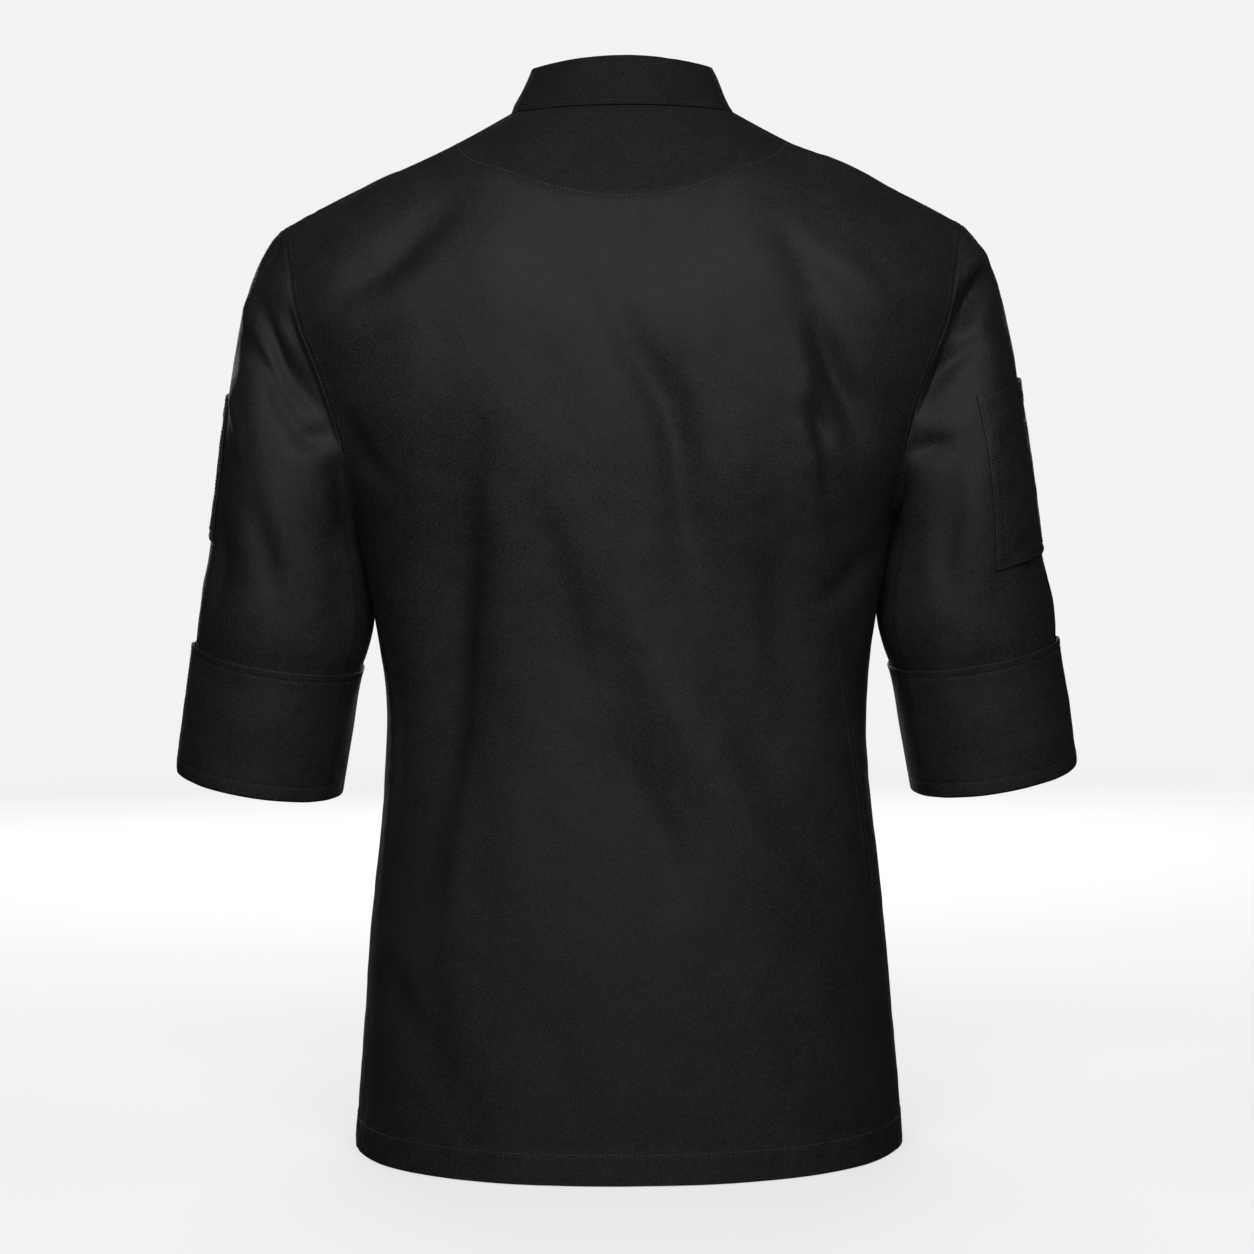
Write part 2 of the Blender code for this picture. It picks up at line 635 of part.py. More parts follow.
def sleeve_pocket(name, size, hand):
    """Patch pocket that lies on a sleeve."""
    down = np.linspace(0, 1, POCKET_ROWS + 1)[:, None]
    across = np.linspace(0, 1, POCKET_COLUMNS + 1)[None, :]
    back = size.back_top + (size.back_bottom - size.back_top) * down
    front = size.front_top + (size.front_bottom - size.front_top) * down
    angle = back + (front - back) * across
    level = size.top + (size.bottom - size.top) * down + 0 * across
    base, normals = sleeve_surface(angle, sleeve_row_at(angle, level), hand)
    inner = base + normals * POCKET_GAP
    outer = base + normals * (POCKET_GAP + POCKET_CLOTH)
    mirror = np.array([hand, 1, 1])
    wall(name, outer * mirror, inner * mirror)


def collar_piece(neckline):
    """Band on the neckline, from the right of the centre front round the back to the left."""
    steps = np.linspace(0, 1, COLLAR_CORNER_STEPS + 1)[:-1, None]
    first = neckline[0] + (neckline[1] - neckline[0]) * steps
    last = neckline[-1] + (neckline[-2] - neckline[-1]) * steps
    foot = np.concatenate([first, neckline[1:-1], last[::-1]])
    depth = np.where(foot[:, 1] > 0, NECK_BACK_DEPTH, NECK_FRONT_DEPTH)
    turn = np.arctan2(foot[:, 0] / NECK_HALF_WIDTH, foot[:, 1] / depth)
    behind = np.clip(np.cos(turn), 0, 1) ** 2
    before = np.clip(-np.cos(turn), 0, 1) ** 2
    reach = np.where(foot[:, 1] > 0, COLLAR_TOP_BACK, COLLAR_TOP_FRONT)
    top_y = reach * np.cos(turn) + COLLAR_TOP_SHIFT * np.sin(turn) ** 2
    rise = COLLAR_RISE_SIDE + (COLLAR_RISE_BACK - COLLAR_RISE_SIDE) * behind
    rise = rise + (COLLAR_RISE_FRONT - COLLAR_RISE_SIDE) * before
    top = np.stack([COLLAR_TOP_HALF_WIDTH * np.sin(turn), top_y, foot[:, 2] + rise], axis=-1)
    height = np.linalg.norm(top - foot, axis=1)
    from_end = np.minimum(np.linalg.norm(foot - foot[0], axis=1), np.linalg.norm(foot - foot[-1], axis=1))
    corner = COLLAR_CORNER - np.clip(from_end, 0, COLLAR_CORNER)
    cut = COLLAR_CORNER - np.sqrt(COLLAR_CORNER**2 - corner**2)
    lowest = COLLAR_FOOT_GAP / height
    highest = 1 - cut / height
    up = np.linspace(0, 1, COLLAR_ROWS + 1)[:, None]
    share = (lowest + (highest - lowest) * up)[..., None]
    outer = foot + (top - foot) * share
    normals = grid_normals(outer, (0, -10, 0))
    wall("collar", outer, outer - normals * COLLAR_CLOTH, colour=COLLAR_COLOUR)


def neckline_of(back, front):
    """The neckline's points, from the right of the centre front round the back to the left."""
    start = front.shape[1] - HALF_CELLS - 1
    front_edge = front[-1, start : start + NECK_CELLS + 1].copy()
    front_edge[0, 0] = COLLAR_END_GAP
    back_edge = back[-1, HALF_CELLS - NECK_CELLS + 1 : HALF_CELLS + NECK_CELLS]
    return np.concatenate([front_edge * (-1, 1, 1), back_edge, front_edge[::-1]])


def button(name, grid, across, height):
    """Sewn button that rests on the front that laps over."""
    turns = np.radians(np.arange(BUTTON_SIDES) * 360 / BUTTON_SIDES)
    reach_x = BUTTON_RADIUS * np.cos(turns)
    reach_z = BUTTON_RADIUS * np.sin(turns)
    middle = surface_place(grid, across, height)
    cloth = np.array([surface_place(grid, across + x, height + z) for x, z in zip(reach_x, reach_z)])
    across_cloth = reach_x @ cloth
    up_cloth = reach_z @ cloth
    normal = unit(np.cross(across_cloth, up_cloth))
    highest = max(0.0, np.max((cloth - middle) @ normal))
    seat = middle + normal * (highest + BUTTON_SEAT)
    sideways = unit(np.cross((0, 0, 1), normal))
    upright = np.cross(normal, sideways)
    round_points = np.cos(turns)[:, None] * sideways + np.sin(turns)[:, None] * upright
    points = [seat + ring.radius * round_points + ring.height * normal for ring in BUTTON_PROFILE]
    rings = len(BUTTON_PROFILE)
    faces = [tuple(range(BUTTON_SIDES))[::-1]]
    for ring in range(rings - 1):
        for side in range(BUTTON_SIDES):
            a = ring * BUTTON_SIDES + side
            b = ring * BUTTON_SIDES + (side + 1) % BUTTON_SIDES
            faces.append((a, b, b + BUTTON_SIDES, a + BUTTON_SIDES))
    faces.append(tuple(range((rings - 1) * BUTTON_SIDES, rings * BUTTON_SIDES)))
    return make_object(name, np.concatenate(points), faces, BUTTON_COLOUR, BUTTON_ROUGHNESS)


def surface_place(grid, across, height):
    """Point of a grid's faces at a place across and a height."""
    for row in range(grid.shape[0] - 1):
        for column in range(grid.shape[1] - 1):
            a = grid[row, column]
            b = grid[row, column + 1]
            c = grid[row + 1, column + 1]
            d = grid[row + 1, column]
            for corners in ((a, b, c), (a, c, d)):
                frame = np.array([[corner[0], corner[2], 1] for corner in corners]).T
                shares = np.linalg.solve(frame, (across, height, 1))
                if shares.min() >= -1e-6:
                    return shares @ np.array(corners)
    raise ValueError(f"no cloth at {across}, {height}")


def build():
    """All the pieces of the jacket."""
    for old in list(bpy.data.objects):
        bpy.data.objects.remove(old)

    mirror = np.array([-1, 1, 1])
    back, back_normals = back_panel()
    left, left_normals = front_panel(over=True)
    right, right_normals = front_panel(over=False)
    share_side_normals(back_normals, left_normals, -1, 1)
    share_side_normals(back_normals, right_normals, 0, mirror)
    wall("back", back, back - back_normals * CLOTH)
    wall("front_left", left, left - left_normals * CLOTH)
    wall("front_right", right * mirror, (right - right_normals * CLOTH) * mirror)

    for hand, front_normals in ((1, left_normals), (-1, right_normals)):
        behind = back_normals[LOWER_ROWS:, -1] if hand > 0 else back_normals[LOWER_ROWS:, 0] * mirror
        before = front_normals[LOWER_ROWS:, -1]
        seam_normals = np.concatenate([behind[::-1], before[1:-1]])
        sleeve_pieces(hand, seam_normals)

    collar_piece(neckline_of(back, right))
    sleeve_pocket("sleeve_pocket_right", POCKET_RIGHT, -1)
    sleeve_pocket("sleeve_pocket_left", POCKET_LEFT, 1)
    for side, across in (("left", BUTTON_ACROSS), ("right", -BUTTON_ACROSS)):
        for index in range(BUTTONS_A_COLUMN):
            height = BUTTON_FIRST_Z - BUTTON_PITCH * index
            button(f"button_{side}_{index + 1}", left, across, height)


build()
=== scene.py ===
# %% [markdown]
# # A chef jacket, dressed round its frame
# The frame is a plain model of a worn jacket: thin walls for the cloth and small discs for the
# buttons. It has the right sizes, but no creases, no stitches and no weave. This lesson puts a
# finer piece in the place of each plain one. The jacket faces -Y and the wearer's left is +X.
# We think in millimetres, because a maker does, and turn them into metres only in a mesh.

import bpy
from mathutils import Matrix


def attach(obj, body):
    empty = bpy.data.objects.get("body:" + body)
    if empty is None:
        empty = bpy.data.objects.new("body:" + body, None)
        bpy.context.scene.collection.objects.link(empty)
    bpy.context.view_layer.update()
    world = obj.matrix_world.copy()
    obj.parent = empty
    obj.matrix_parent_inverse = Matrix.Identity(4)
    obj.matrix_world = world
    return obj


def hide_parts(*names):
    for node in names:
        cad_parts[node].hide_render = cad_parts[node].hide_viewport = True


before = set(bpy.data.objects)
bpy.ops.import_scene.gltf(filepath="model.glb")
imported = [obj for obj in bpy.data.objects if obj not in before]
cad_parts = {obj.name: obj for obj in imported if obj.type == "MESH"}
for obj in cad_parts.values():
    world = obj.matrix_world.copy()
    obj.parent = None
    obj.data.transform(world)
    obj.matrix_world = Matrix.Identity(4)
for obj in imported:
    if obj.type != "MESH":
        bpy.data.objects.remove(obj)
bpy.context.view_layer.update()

import math
from collections import namedtuple

import bmesh
import bpy
import numpy as np
from mathutils import Matrix, Vector
from mathutils.bvhtree import BVHTree

MM = 0.001
print("frame nodes:", len(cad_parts))

# %% [markdown]
# ## The camera
# The camera stands behind the jacket, a little above its middle, and looks slightly down. We
# build its axes ourselves: where it looks, what is up, and a very small roll.

# %% Set up the camera
CAMERA_PLACE = (-0.001, 2.9, -0.0818)
CAMERA_PITCH = math.radians(5.53)
CAMERA_ROLL = math.radians(0.4)
FOCAL_PIXELS = 4100.0
IMAGE_PIXELS = 1254.0
SENSOR_MM = 36.0


def link(name, data):
    """A new object in the scene."""
    made = bpy.data.objects.new(name, data)
    bpy.context.scene.collection.objects.link(made)
    return made


def standing(place, *axes):
    """Matrix that puts a thing at a place, turned to three axes of its own."""
    return Matrix.Translation(place) @ Matrix(axes).transposed().to_4x4()


look = Vector((0, -math.cos(CAMERA_PITCH), -math.sin(CAMERA_PITCH)))
flat_right = Vector((-1, 0, 0))
flat_up = flat_right.cross(look)
right = flat_right * math.cos(CAMERA_ROLL) - flat_up * math.sin(CAMERA_ROLL)
up = flat_right * math.sin(CAMERA_ROLL) + flat_up * math.cos(CAMERA_ROLL)
camera = link("camera", bpy.data.cameras.new("camera"))
camera.data.sensor_width = SENSOR_MM
camera.data.lens = FOCAL_PIXELS / IMAGE_PIXELS * SENSOR_MM
camera.matrix_world = standing(CAMERA_PLACE, right, up, -look)
bpy.context.scene.camera = camera
print("lens in mm:", round(camera.data.lens, 1))

# %% [markdown]
# ## Small tools for smooth shapes
# A garment has few straight lines. Its widths and depths come from short tables, and a smooth
# curve through each table gives every value in between.

# %% Tables, curves and easing


def table(columns, rows):
    """Rows of values that are read by the names of their columns."""
    kind = namedtuple("Row", columns)
    return [kind(*row) for row in rows]


def smooth_curve(places, values):
    """A smooth curve through values at rising places, held level past both ends."""
    places, values = np.array(places, float), np.array(values, float)
    slopes = np.gradient(values, places)

    def curve(place):
        place = np.clip(place, places[0], places[-1])
        index = np.clip(np.searchsorted(places, place, side="right") - 1, 0, len(places) - 2)
        step = places[index + 1] - places[index]
        part = (place - places[index]) / step
        rest = 1 - part
        start = values[index] * (1 + 2 * part) * rest**2 + slopes[index] * step * part * rest**2
        end = values[index + 1] * (1 + 2 * rest) * part**2 - slopes[index + 1] * step * rest * part**2
        return start + end

    return curve


def smooth_table(rows, key, value):
    """A smooth curve of one column of a table against another."""
    return smooth_curve([getattr(row, key) for row in rows], [getattr(row, value) for row in rows])


def lengths(points, axis):
    """Distance along a grid or a path from its first row or column."""
    steps = np.linalg.norm(np.diff(points, axis=axis), axis=-1)
    start = np.zeros_like(steps[:1] if axis == 0 else steps[:, :1])
    return np.concatenate([start, np.cumsum(steps, axis=axis)], axis=axis)


def smooth_path(path, parts):
    """Places on a smooth curve through a path's places, at parts of its length."""
    path = np.array(path, float)
    places = lengths(path, 0)
    return np.stack([smooth_curve(places, column)(parts * places[-1]) for column in path.T], axis=-1)


def unit(vectors):
    """Vectors of length one, along the last axis."""
    return vectors / np.linalg.norm(vectors, axis=-1, keepdims=True)


def ease(part):
    """0 to 1 with level ends."""
    part = np.clip(part, 0, 1)
    return part * part * (3 - 2 * part)


def solve_falling(rule, target, low, high):
    """The value between low and high where a falling rule reaches the target."""
    for _ in range(40):
        middle = (low + high) / 2
        above = rule(middle) > target
        low, high = np.where(above, middle, low), np.where(above, high, middle)
    return (low + high) / 2


def grid_normals(points, centre):
    """Normals of a grid of points, facing away from the centre."""
    normals = unit(np.cross(np.gradient(points, axis=1), np.gradient(points, axis=0)))
    return normals if np.sum(normals * (points - centre)) > 0 else -normals


def graded(length, coarse, fine, reach, ends):
    """Places from 0 to 1 along a length, close together near the given ends."""
    along = np.linspace(0, length, 3001)
    size = np.full(along.shape, coarse)
    for end in ends:
        away = np.abs(along - end * length)
        size = np.minimum(size, fine + (coarse - fine) * ease((away - reach) / (2 * reach)))
    count = np.concatenate([[0], np.cumsum(2 / (size[1:] + size[:-1]) * np.diff(along))])
    return np.interp(np.linspace(0, count[-1], math.ceil(count[-1]) + 1), count, along) / length


# %% [markdown]
# ## The body's surface
# The body is one smooth surface. At each height it has a half-width, a depth behind and a depth
# in front. Near the top the cloth rolls over from that depth to the neckline and the shoulder
# seams. These are the frame's own tables, so each piece lands where its plain one is.

# %% The body's tables
NECK_HALF_WIDTH = 78.0
NECK_BACK_DEPTH = 58.0
NECK_BACK_RISE = 4.0
NECK_FRONT_DEPTH = 85.0
NECK_FRONT_DROP = 78.0
NECK_FRONT_POWER = 1.7
SHOULDER_TIP = (239.0, -6.0, -80.0)
SHOULDER_WAVE = 1.6
UNDERARM_Z = -290.0
ARMHOLE_BACK = 62.0
ARMHOLE_FRONT = 69.0
HEM_Z = -731.0
SECTION_POWER = 2.25
NECK_SHARE = 5 / 12
NECK_SOFTENING = 0.6
ROLL_END = 0.13
ROLL_STEPS = (-24.0, -12.0, 0.0, 12.0, 24.0)
BLUR_STEPS = (-28.0, -19.0, -10.0, -3.0, 3.0, 10.0, 19.0, 28.0)
BACK = 1
FRONT = -1

TORSO = table("height half_width back_depth front_depth side_seam", (
    (HEM_Z, 195.0, 154.0, 138.0, 79.0),
    (-660.0, 190.5, 146.0, 134.0, 78.0),
    (-580.0, 183.5, 133.0, 129.0, 77.0),
    (-508.0, 176.0, 120.0, 125.0, 76.0),
    (-422.0, 170.5, 108.0, 122.0, 75.0),
    (-351.0, 177.5, 108.0, 126.0, 79.0),
    (UNDERARM_Z, 188.0, 115.0, 133.0, 90.0),
    (-240.0, 208.5, 120.0, 134.0, 90.0),
    (-190.0, 229.0, 121.0, 130.0, 90.0),
    (-140.0, 245.0, 118.0, 121.0, 90.0),
    (-80.0, 247.0, 112.0, 106.0, 90.0),
    (10.0, 247.0, 104.0, 92.0, 90.0),
))
ROLL_COLUMNS = "across drop power"
ROLLS = {
    BACK: table(ROLL_COLUMNS, (
        (0.0, 150.0, 1.35), (45.0, 145.0, 1.5), (78.0, 122.0, 1.95), (115.0, 110.0, 2.0), (250.0, 80.0, 2.0),
    )),
    FRONT: table(ROLL_COLUMNS, (
        (0.0, 110.0, 1.6), (45.0, 118.0, 1.6), (78.0, 138.0, 1.65), (115.0, 118.0, 1.9), (150.0, 102.0, 2.0),
        (250.0, 80.0, 2.0),
    )),
}
half_width_at = smooth_table(TORSO, "height", "half_width")
side_seam_at = smooth_table(TORSO, "height", "side_seam")
depth_at = {
    BACK: smooth_table(TORSO, "height", "back_depth"),
    FRONT: smooth_table(TORSO, "height", "front_depth"),
}
roll_drop_at = {side: smooth_table(roll, "across", "drop") for side, roll in ROLLS.items()}
roll_power_at = {side: smooth_table(roll, "across", "power") for side, roll in ROLLS.items()}
print("half-width at the hem and the waist:", half_width_at(HEM_Z), half_width_at(-422.0))

# %% The body's rules


def section_depth(fraction):
    """Depth of a torso section as a share of its greatest, at a share of its half-width."""
    inside = 1 - np.abs(np.clip(fraction, -1, 1)) ** SECTION_POWER
    return inside ** (1 / SECTION_POWER)


def top_edge(x, side, soft=0):
    """Depth and height of a panel's top edge. Softness rounds off the corner at the neck point."""
    tip_x, tip_y, tip_z = SHOULDER_TIP
    along = (np.abs(x) - NECK_HALF_WIDTH) / (tip_x - NECK_HALF_WIDTH)
    seam_z = tip_z * along - SHOULDER_WAVE * np.sin(2 * np.pi * np.clip(along, 0, 1))
    inside = 1 - (x / NECK_HALF_WIDTH) ** 2
    round_neck = np.sqrt(np.clip((inside + np.sqrt(inside**2 + soft**2)) / 2, 0, 1))
    if side == BACK:
        neck_y = NECK_BACK_DEPTH * round_neck
        neck_z = NECK_BACK_RISE * round_neck**2
    else:
        neck_y = -NECK_FRONT_DEPTH * round_neck
        neck_z = -NECK_FRONT_DROP * round_neck**NECK_FRONT_POWER
    on_neck = np.abs(x) < NECK_HALF_WIDTH
    sharp_y = np.where(on_neck, neck_y, tip_y * along)
    soft_y = np.clip(along, 0, 1) * tip_y + neck_y
    return np.where(soft == 0, sharp_y, soft_y), np.where(on_neck, neck_z, seam_z)


def body_depth(x, z, side):
    """Depth of the body's surface at a place seen from behind or from the front."""
    edge_z = top_edge(x, side)[1]
    drop, power = (
        sum(curve[side](np.abs(np.abs(x) + step)) for step in ROLL_STEPS) / len(ROLL_STEPS)
        for curve in (roll_drop_at, roll_power_at)
    )
    blurred_z = sum(top_edge(x + step, side)[1] for step in BLUR_STEPS) / len(BLUR_STEPS)
    edge_z = edge_z + (blurred_z - edge_z) * ease((edge_z - z) / drop * 5)
    rest = 1 - np.clip((edge_z - z) / drop, 0, None)
    below = 1 - np.clip((rest + np.sqrt(rest**2 + ROLL_END**2)) / 2 / (1 + ROLL_END**2 / 4), 0, 1)
    rolled = (1 - (1 - below) ** power) ** (1 / power)
    edge_y, _ = top_edge(x, side, NECK_SOFTENING * np.clip(below * 4, 0, 1))
    full = side * depth_at[side](z) * section_depth(x / half_width_at(z))
    return edge_y + (full - edge_y) * rolled


def armhole_point(angle):
    """Point of the left armhole's edge. 0 is the shoulder tip, 90 the back, 180 the underarm."""
    _, tip_y, tip_z = SHOULDER_TIP
    turn = np.radians(angle)
    z = (tip_z + UNDERARM_Z) / 2 + (tip_z - UNDERARM_Z) / 2 * np.cos(turn)
    centre_y = tip_y * (1 + np.cos(turn)) / 2
    points = []
    for side, reach in ((BACK, ARMHOLE_BACK), (FRONT, ARMHOLE_FRONT)):
        y = centre_y + reach * np.sin(turn)
        x = solve_falling(lambda a: side * body_depth(a, z, side), side * y, 150.0, half_width_at(z))
        points.append(np.stack([x, y, z], axis=-1))
    point = np.where((np.sin(turn) >= 0)[..., None], points[0], points[1])
    return np.where(np.isclose(np.cos(turn), 1)[..., None], SHOULDER_TIP, point)


def top_x(part):
    """Place across of the top edge's points, from 0 at the centre to 1 at the shoulder tip."""
    neck = NECK_HALF_WIDTH * np.sin(np.pi / 2 * np.clip(part / NECK_SHARE, 0, 1))
    along = (part - NECK_SHARE) / (1 - NECK_SHARE)
    return np.where(part <= NECK_SHARE, neck, NECK_HALF_WIDTH + (SHOULDER_TIP[0] - NECK_HALF_WIDTH) * along)


# %% [markdown]
# ## The grid of a panel
# A panel is sampled on a grid: rows from the hem up to the neckline and shoulder, and columns
# from the centre out to the side seam and armhole. Cells are small beside the seams and the
# hem, where stitching pulls the cloth into fine shapes, and larger between them.

# %% Sizes of the grid
LAP_CELL = 3.7
COLUMN_CELL = 2.9
ROW_CELL = 4.3
SEAM_CELL = 1.1
SEAM_CELLS_REACH = 9.0
HEM_CELL = 1.6
HEM_CELLS_REACH = 26.0
HALF_GIRTH = 285.0
LOWER_LENGTH = UNDERARM_Z - HEM_Z
UPPER_LENGTH = 285.0

PARTS = graded(HALF_GIRTH, COLUMN_CELL, SEAM_CELL, SEAM_CELLS_REACH, (1,))
NECK_COLUMN = int(np.argmin(np.abs(PARTS - NECK_SHARE)))
PARTS[NECK_COLUMN] = NECK_SHARE
HALF = len(PARTS) - 1
LOWER = graded(LOWER_LENGTH, ROW_CELL, HEM_CELL, HEM_CELLS_REACH, (0,))
UPPER = graded(UPPER_LENGTH, ROW_CELL, SEAM_CELL, SEAM_CELLS_REACH, (1,))
LOWER_Z = HEM_Z + LOWER_LENGTH * LOWER[:-1, None]
UNDERARM_ROW = len(LOWER) - 1
print("columns in half a panel:", len(PARTS), "rows:", len(LOWER) + len(UPPER) - 1)


def half_panel(side):
    """Grid of the half of the body on +X: rows from the hem up, columns from the centre outwards."""
    turn = side_seam_at(LOWER_Z)
    angle = np.radians(turn * PARTS if side == BACK else 180 - (180 - turn) * PARTS)
    greatest = np.where(np.cos(angle) > 0, depth_at[BACK](LOWER_Z), -depth_at[FRONT](LOWER_Z))
    lower_x = half_width_at(LOWER_Z) * np.sin(angle)
    lower = np.stack([lower_x, greatest * section_depth(np.sin(angle)), LOWER_Z + 0 * lower_x], axis=-1)

    up_part = UPPER[:, None]
    seam = armhole_point(180 * (1 - UPPER) * side)
    settle = ease(up_part)
    spread = (1 - settle) * np.sin(np.pi / 2 * PARTS) + settle * top_x(PARTS) / SHOULDER_TIP[0]
    upper_x = seam[:, None, 0] * spread
    near_seam = PARTS**4
    climb = (1 - near_seam) * up_part + near_seam * (1 - np.cos(np.pi * up_part)) / 2
    upper_z = UNDERARM_Z + (top_edge(top_x(PARTS), side)[1] - UNDERARM_Z) * climb
    upper = np.stack([upper_x, body_depth(upper_x, upper_z, side), upper_z], axis=-1)
    upper[:, -1] = seam
    return np.concatenate([lower, upper])


# %% [markdown]
# ## How creases are drawn
# A crease is a path on the cloth with a soft trough across it, and often one side is steeper
# than the other. It swells from nothing at one end and fades at the other. A depth below zero
# gives a ridge. Between the creases the cloth is never quite flat, so a few dozen long weak
# waves that run in all directions are added up: a quick, repeatable way to get soft ripples.

# %% Creases and ripples
CREASE_SAMPLES = 72
CREASE_BLEND = 1.1
CREASE_BLUR = 1.5
CREASE_REACH = 2.6
END_SLACK = 0.35


def crease(first, second, path, wide, narrow, depth, axis=0, fullness=1.1):
    """Depth of one crease. Wide is its half-width towards higher values of the chosen axis."""
    path = np.array(path, float)
    along = (np.arange(CREASE_SAMPLES) + 0.5) / CREASE_SAMPLES
    line = smooth_path(path, along)
    direction = unit(np.gradient(line, axis=0))
    normal = np.stack([-direction[:, 1], direction[:, 0]], axis=1)
    normal *= np.where(normal[:, axis] < 0, -1, 1)[:, None]
    total = np.zeros(np.shape(first))
    reach = CREASE_REACH * max(wide, narrow)
    near = (first > line[:, 0].min() - reach) & (first < line[:, 0].max() + reach)
    near &= (second > line[:, 1].min() - reach) & (second < line[:, 1].max() + reach)
    if near.any():
        away = np.stack([first[near], second[near]], axis=-1)[:, None] - line[None]
        squared = np.sum(away**2, axis=-1)
        closest = squared.min(axis=1, keepdims=True)
        spacing = lengths(path, 0)[-1] / CREASE_SAMPLES
        share = np.exp(-(squared - closest) / (2 * (CREASE_BLEND * spacing + CREASE_BLUR) ** 2))
        share = share / share.sum(axis=1, keepdims=True)
        across = np.sum(share * np.sum(away * normal, axis=-1), axis=1)
        beyond = np.sqrt(np.maximum(closest[:, 0] - across**2 - END_SLACK * spacing**2, 0))
        fading = (across / np.where(across > 0, wide, narrow)) ** 2 + (beyond / min(wide, narrow)) ** 2
        total[near] = depth * np.sum(share * np.sin(np.pi * along) ** fullness, axis=1) * np.exp(-fading)
    return total


def ripples(first, second, wavelength, seed, waves=28):
    """Soft random unevenness, about 1 high, at roughly one wavelength."""
    chance = np.random.default_rng(seed)
    total = np.zeros(np.shape(first))
    for _ in range(waves):
        heading = chance.uniform(0, np.pi)
        length = wavelength * chance.uniform(0.7, 1.6)
        start = chance.uniform(0, 2 * np.pi)
        place = first * math.cos(heading) + second * math.sin(heading)
        total = total + np.sin(2 * np.pi * place / length + start)
    return total * math.sqrt(2 / waves)


def band(distance, width, soft=1.2):
    """1 within a width of an edge, and 0 past it."""
    return 1 - ease((distance - width) / soft)


def groove(distance, place, width):
    """1 on a line at a distance from an edge, and 0 beside it."""
    return np.exp(-(((distance - place) / width) ** 2))


# %% [markdown]
# ## The creases of the back and the fronts
# First come the frame's own largest folds, so that the finished cloth keeps the frame's form.
# Then come the smaller creases: a long steep-sided one down the left, slanting pulls across the
# back, short deep ones beside the right armhole, and ridges below the shoulders. The fronts,
# which a lapped and buttoned jacket holds flatter, get similar ones in places of their own.

# %% The creases of the body
BODY_FOLDS = table("side top middle foot width depth", (
    (BACK, (92, -165), (112, -330), (108, -610), 20, 6.0),
    (BACK, (153, -560), (138, -630), (120, -700), 16, 3.0),
    (BACK, (-6, -125), (-50, -330), (-128, -530), 26, 5.0),
    (BACK, (43, -250), (-30, -400), (-130, -570), 28, -4.0),
    (BACK, (-115, -95), (-152, -180), (-165, -255), 20, 4.0),
    (BACK, (205, -130), (165, -95), (112, -62), 20, 3.5),
    (FRONT, (150, -150), (128, -230), (112, -330), 22, 4.5),
    (FRONT, (-148, -160), (-132, -250), (-118, -350), 22, 4.5),
    (FRONT, (140, -400), (118, -520), (112, -660), 22, 4.0),
    (FRONT, (-132, -420), (-120, -560), (-125, -680), 24, 4.5),
))
CREASE_COLUMNS = "wide narrow depth path"
BACK_CREASES = table(CREASE_COLUMNS, (
    (26, 19, 11.5, (
        (122, -180), (114, -216), (116, -278), (121, -334), (128, -414), (141, -520), (143, -598),
    )),
    (9, 20, -4.0, ((93, -170), (90, -216), (93, -278), (98, -334), (105, -414), (119, -520), (122, -598))),
    (12, 15, 7.5, ((20, -97), (-9, -167), (-28, -199), (-40, -272), (-51, -334))),
    (24, 28, -5.0, ((17, -306), (-14, -373), (-66, -466), (-105, -585))),
    (20, 16, 7.0, ((18, -416), (-19, -491), (-43, -559))),
    (10, 9, 8.4, ((-126, -130), (-144, -176), (-156, -202), (-167, -236))),
    (14, 12, -4.1, ((-131, -89), (-162, -117), (-190, -151))),
    (13, 10, 4.1, ((-98, -68), (-133, -116), (-150, -138))),
    (9, 8, 6.0, ((-120, -196), (-131, -212), (-143, -233))),
    (11, 7, -4.1, ((-118, -146), (-123, -176), (-125, -212), (-128, -253), (-134, -312))),
    (18, 18, 7.4, ((-101, -252), (-103, -308), (-113, -378), (-127, -448))),
    (13, 13, 3.6, ((170, -580), (152, -627), (131, -677))),
    (10, 10, -2.6, ((158, -567), (141, -639))),
    (11, 12, 7.6, ((216, -138), (166, -104), (135, -77), (105, -58))),
    (6, 7, -3.8, ((200, -66), (168, -54), (136, -46), (105, -41))),
    (6, 6, -3.8, ((-100, -24), (-145, -38), (-200, -62))),
    (12, 12, 2.9, ((62, -250), (40, -330), (30, -420))),
    (14, 12, 3.2, ((-60, -600), (-76, -650), (-84, -700))),
    (16, 14, 2.6, ((60, -610), (44, -660), (40, -705))),
    (9, 8, 2.9, ((196, -200), (176, -240), (150, -262))),
    (10, 8, 2.8, ((-172, -300), (-150, -330), (-128, -340))),
))
FRONT_CREASES = table(CREASE_COLUMNS, (
    (12, 9, 4.9, ((178, -140), (150, -190), (120, -232))),
    (9, 12, 4.9, ((-180, -146), (-156, -196), (-128, -246))),
    (14, 10, 4.2, ((150, -330), (132, -400), (124, -500))),
    (10, 14, 4.6, ((-154, -318), (-140, -398), (-126, -470))),
    (11, 11, 2.7, ((56, -176), (10, -186), (-50, -178))),
    (10, 12, 2.5, ((50, -292), (4, -280), (-54, -286))),
    (12, 10, 2.7, ((58, -396), (6, -404), (-46, -398))),
    (12, 12, 2.8, ((60, -500), (24, -520), (-52, -508))),
    (14, 14, 3.4, ((30, -600), (20, -650), (24, -704))),
    (14, 12, 3.4, ((-64, -606), (-76, -650), (-70, -706))),
    (12, 10, 3.4, ((200, -120), (170, -100), (130, -84))),
    (10, 12, 3.4, ((-196, -118), (-168, -98), (-134, -80))),
))
CREASES = {BACK: BACK_CREASES, FRONT: FRONT_CREASES}
FOLD_FULLNESS = 0.9
FOLD_POINTS = 7
SEAM_SHARE = 0.93
SIDE_FADE = 0.12
TOP_FADE = 45.0
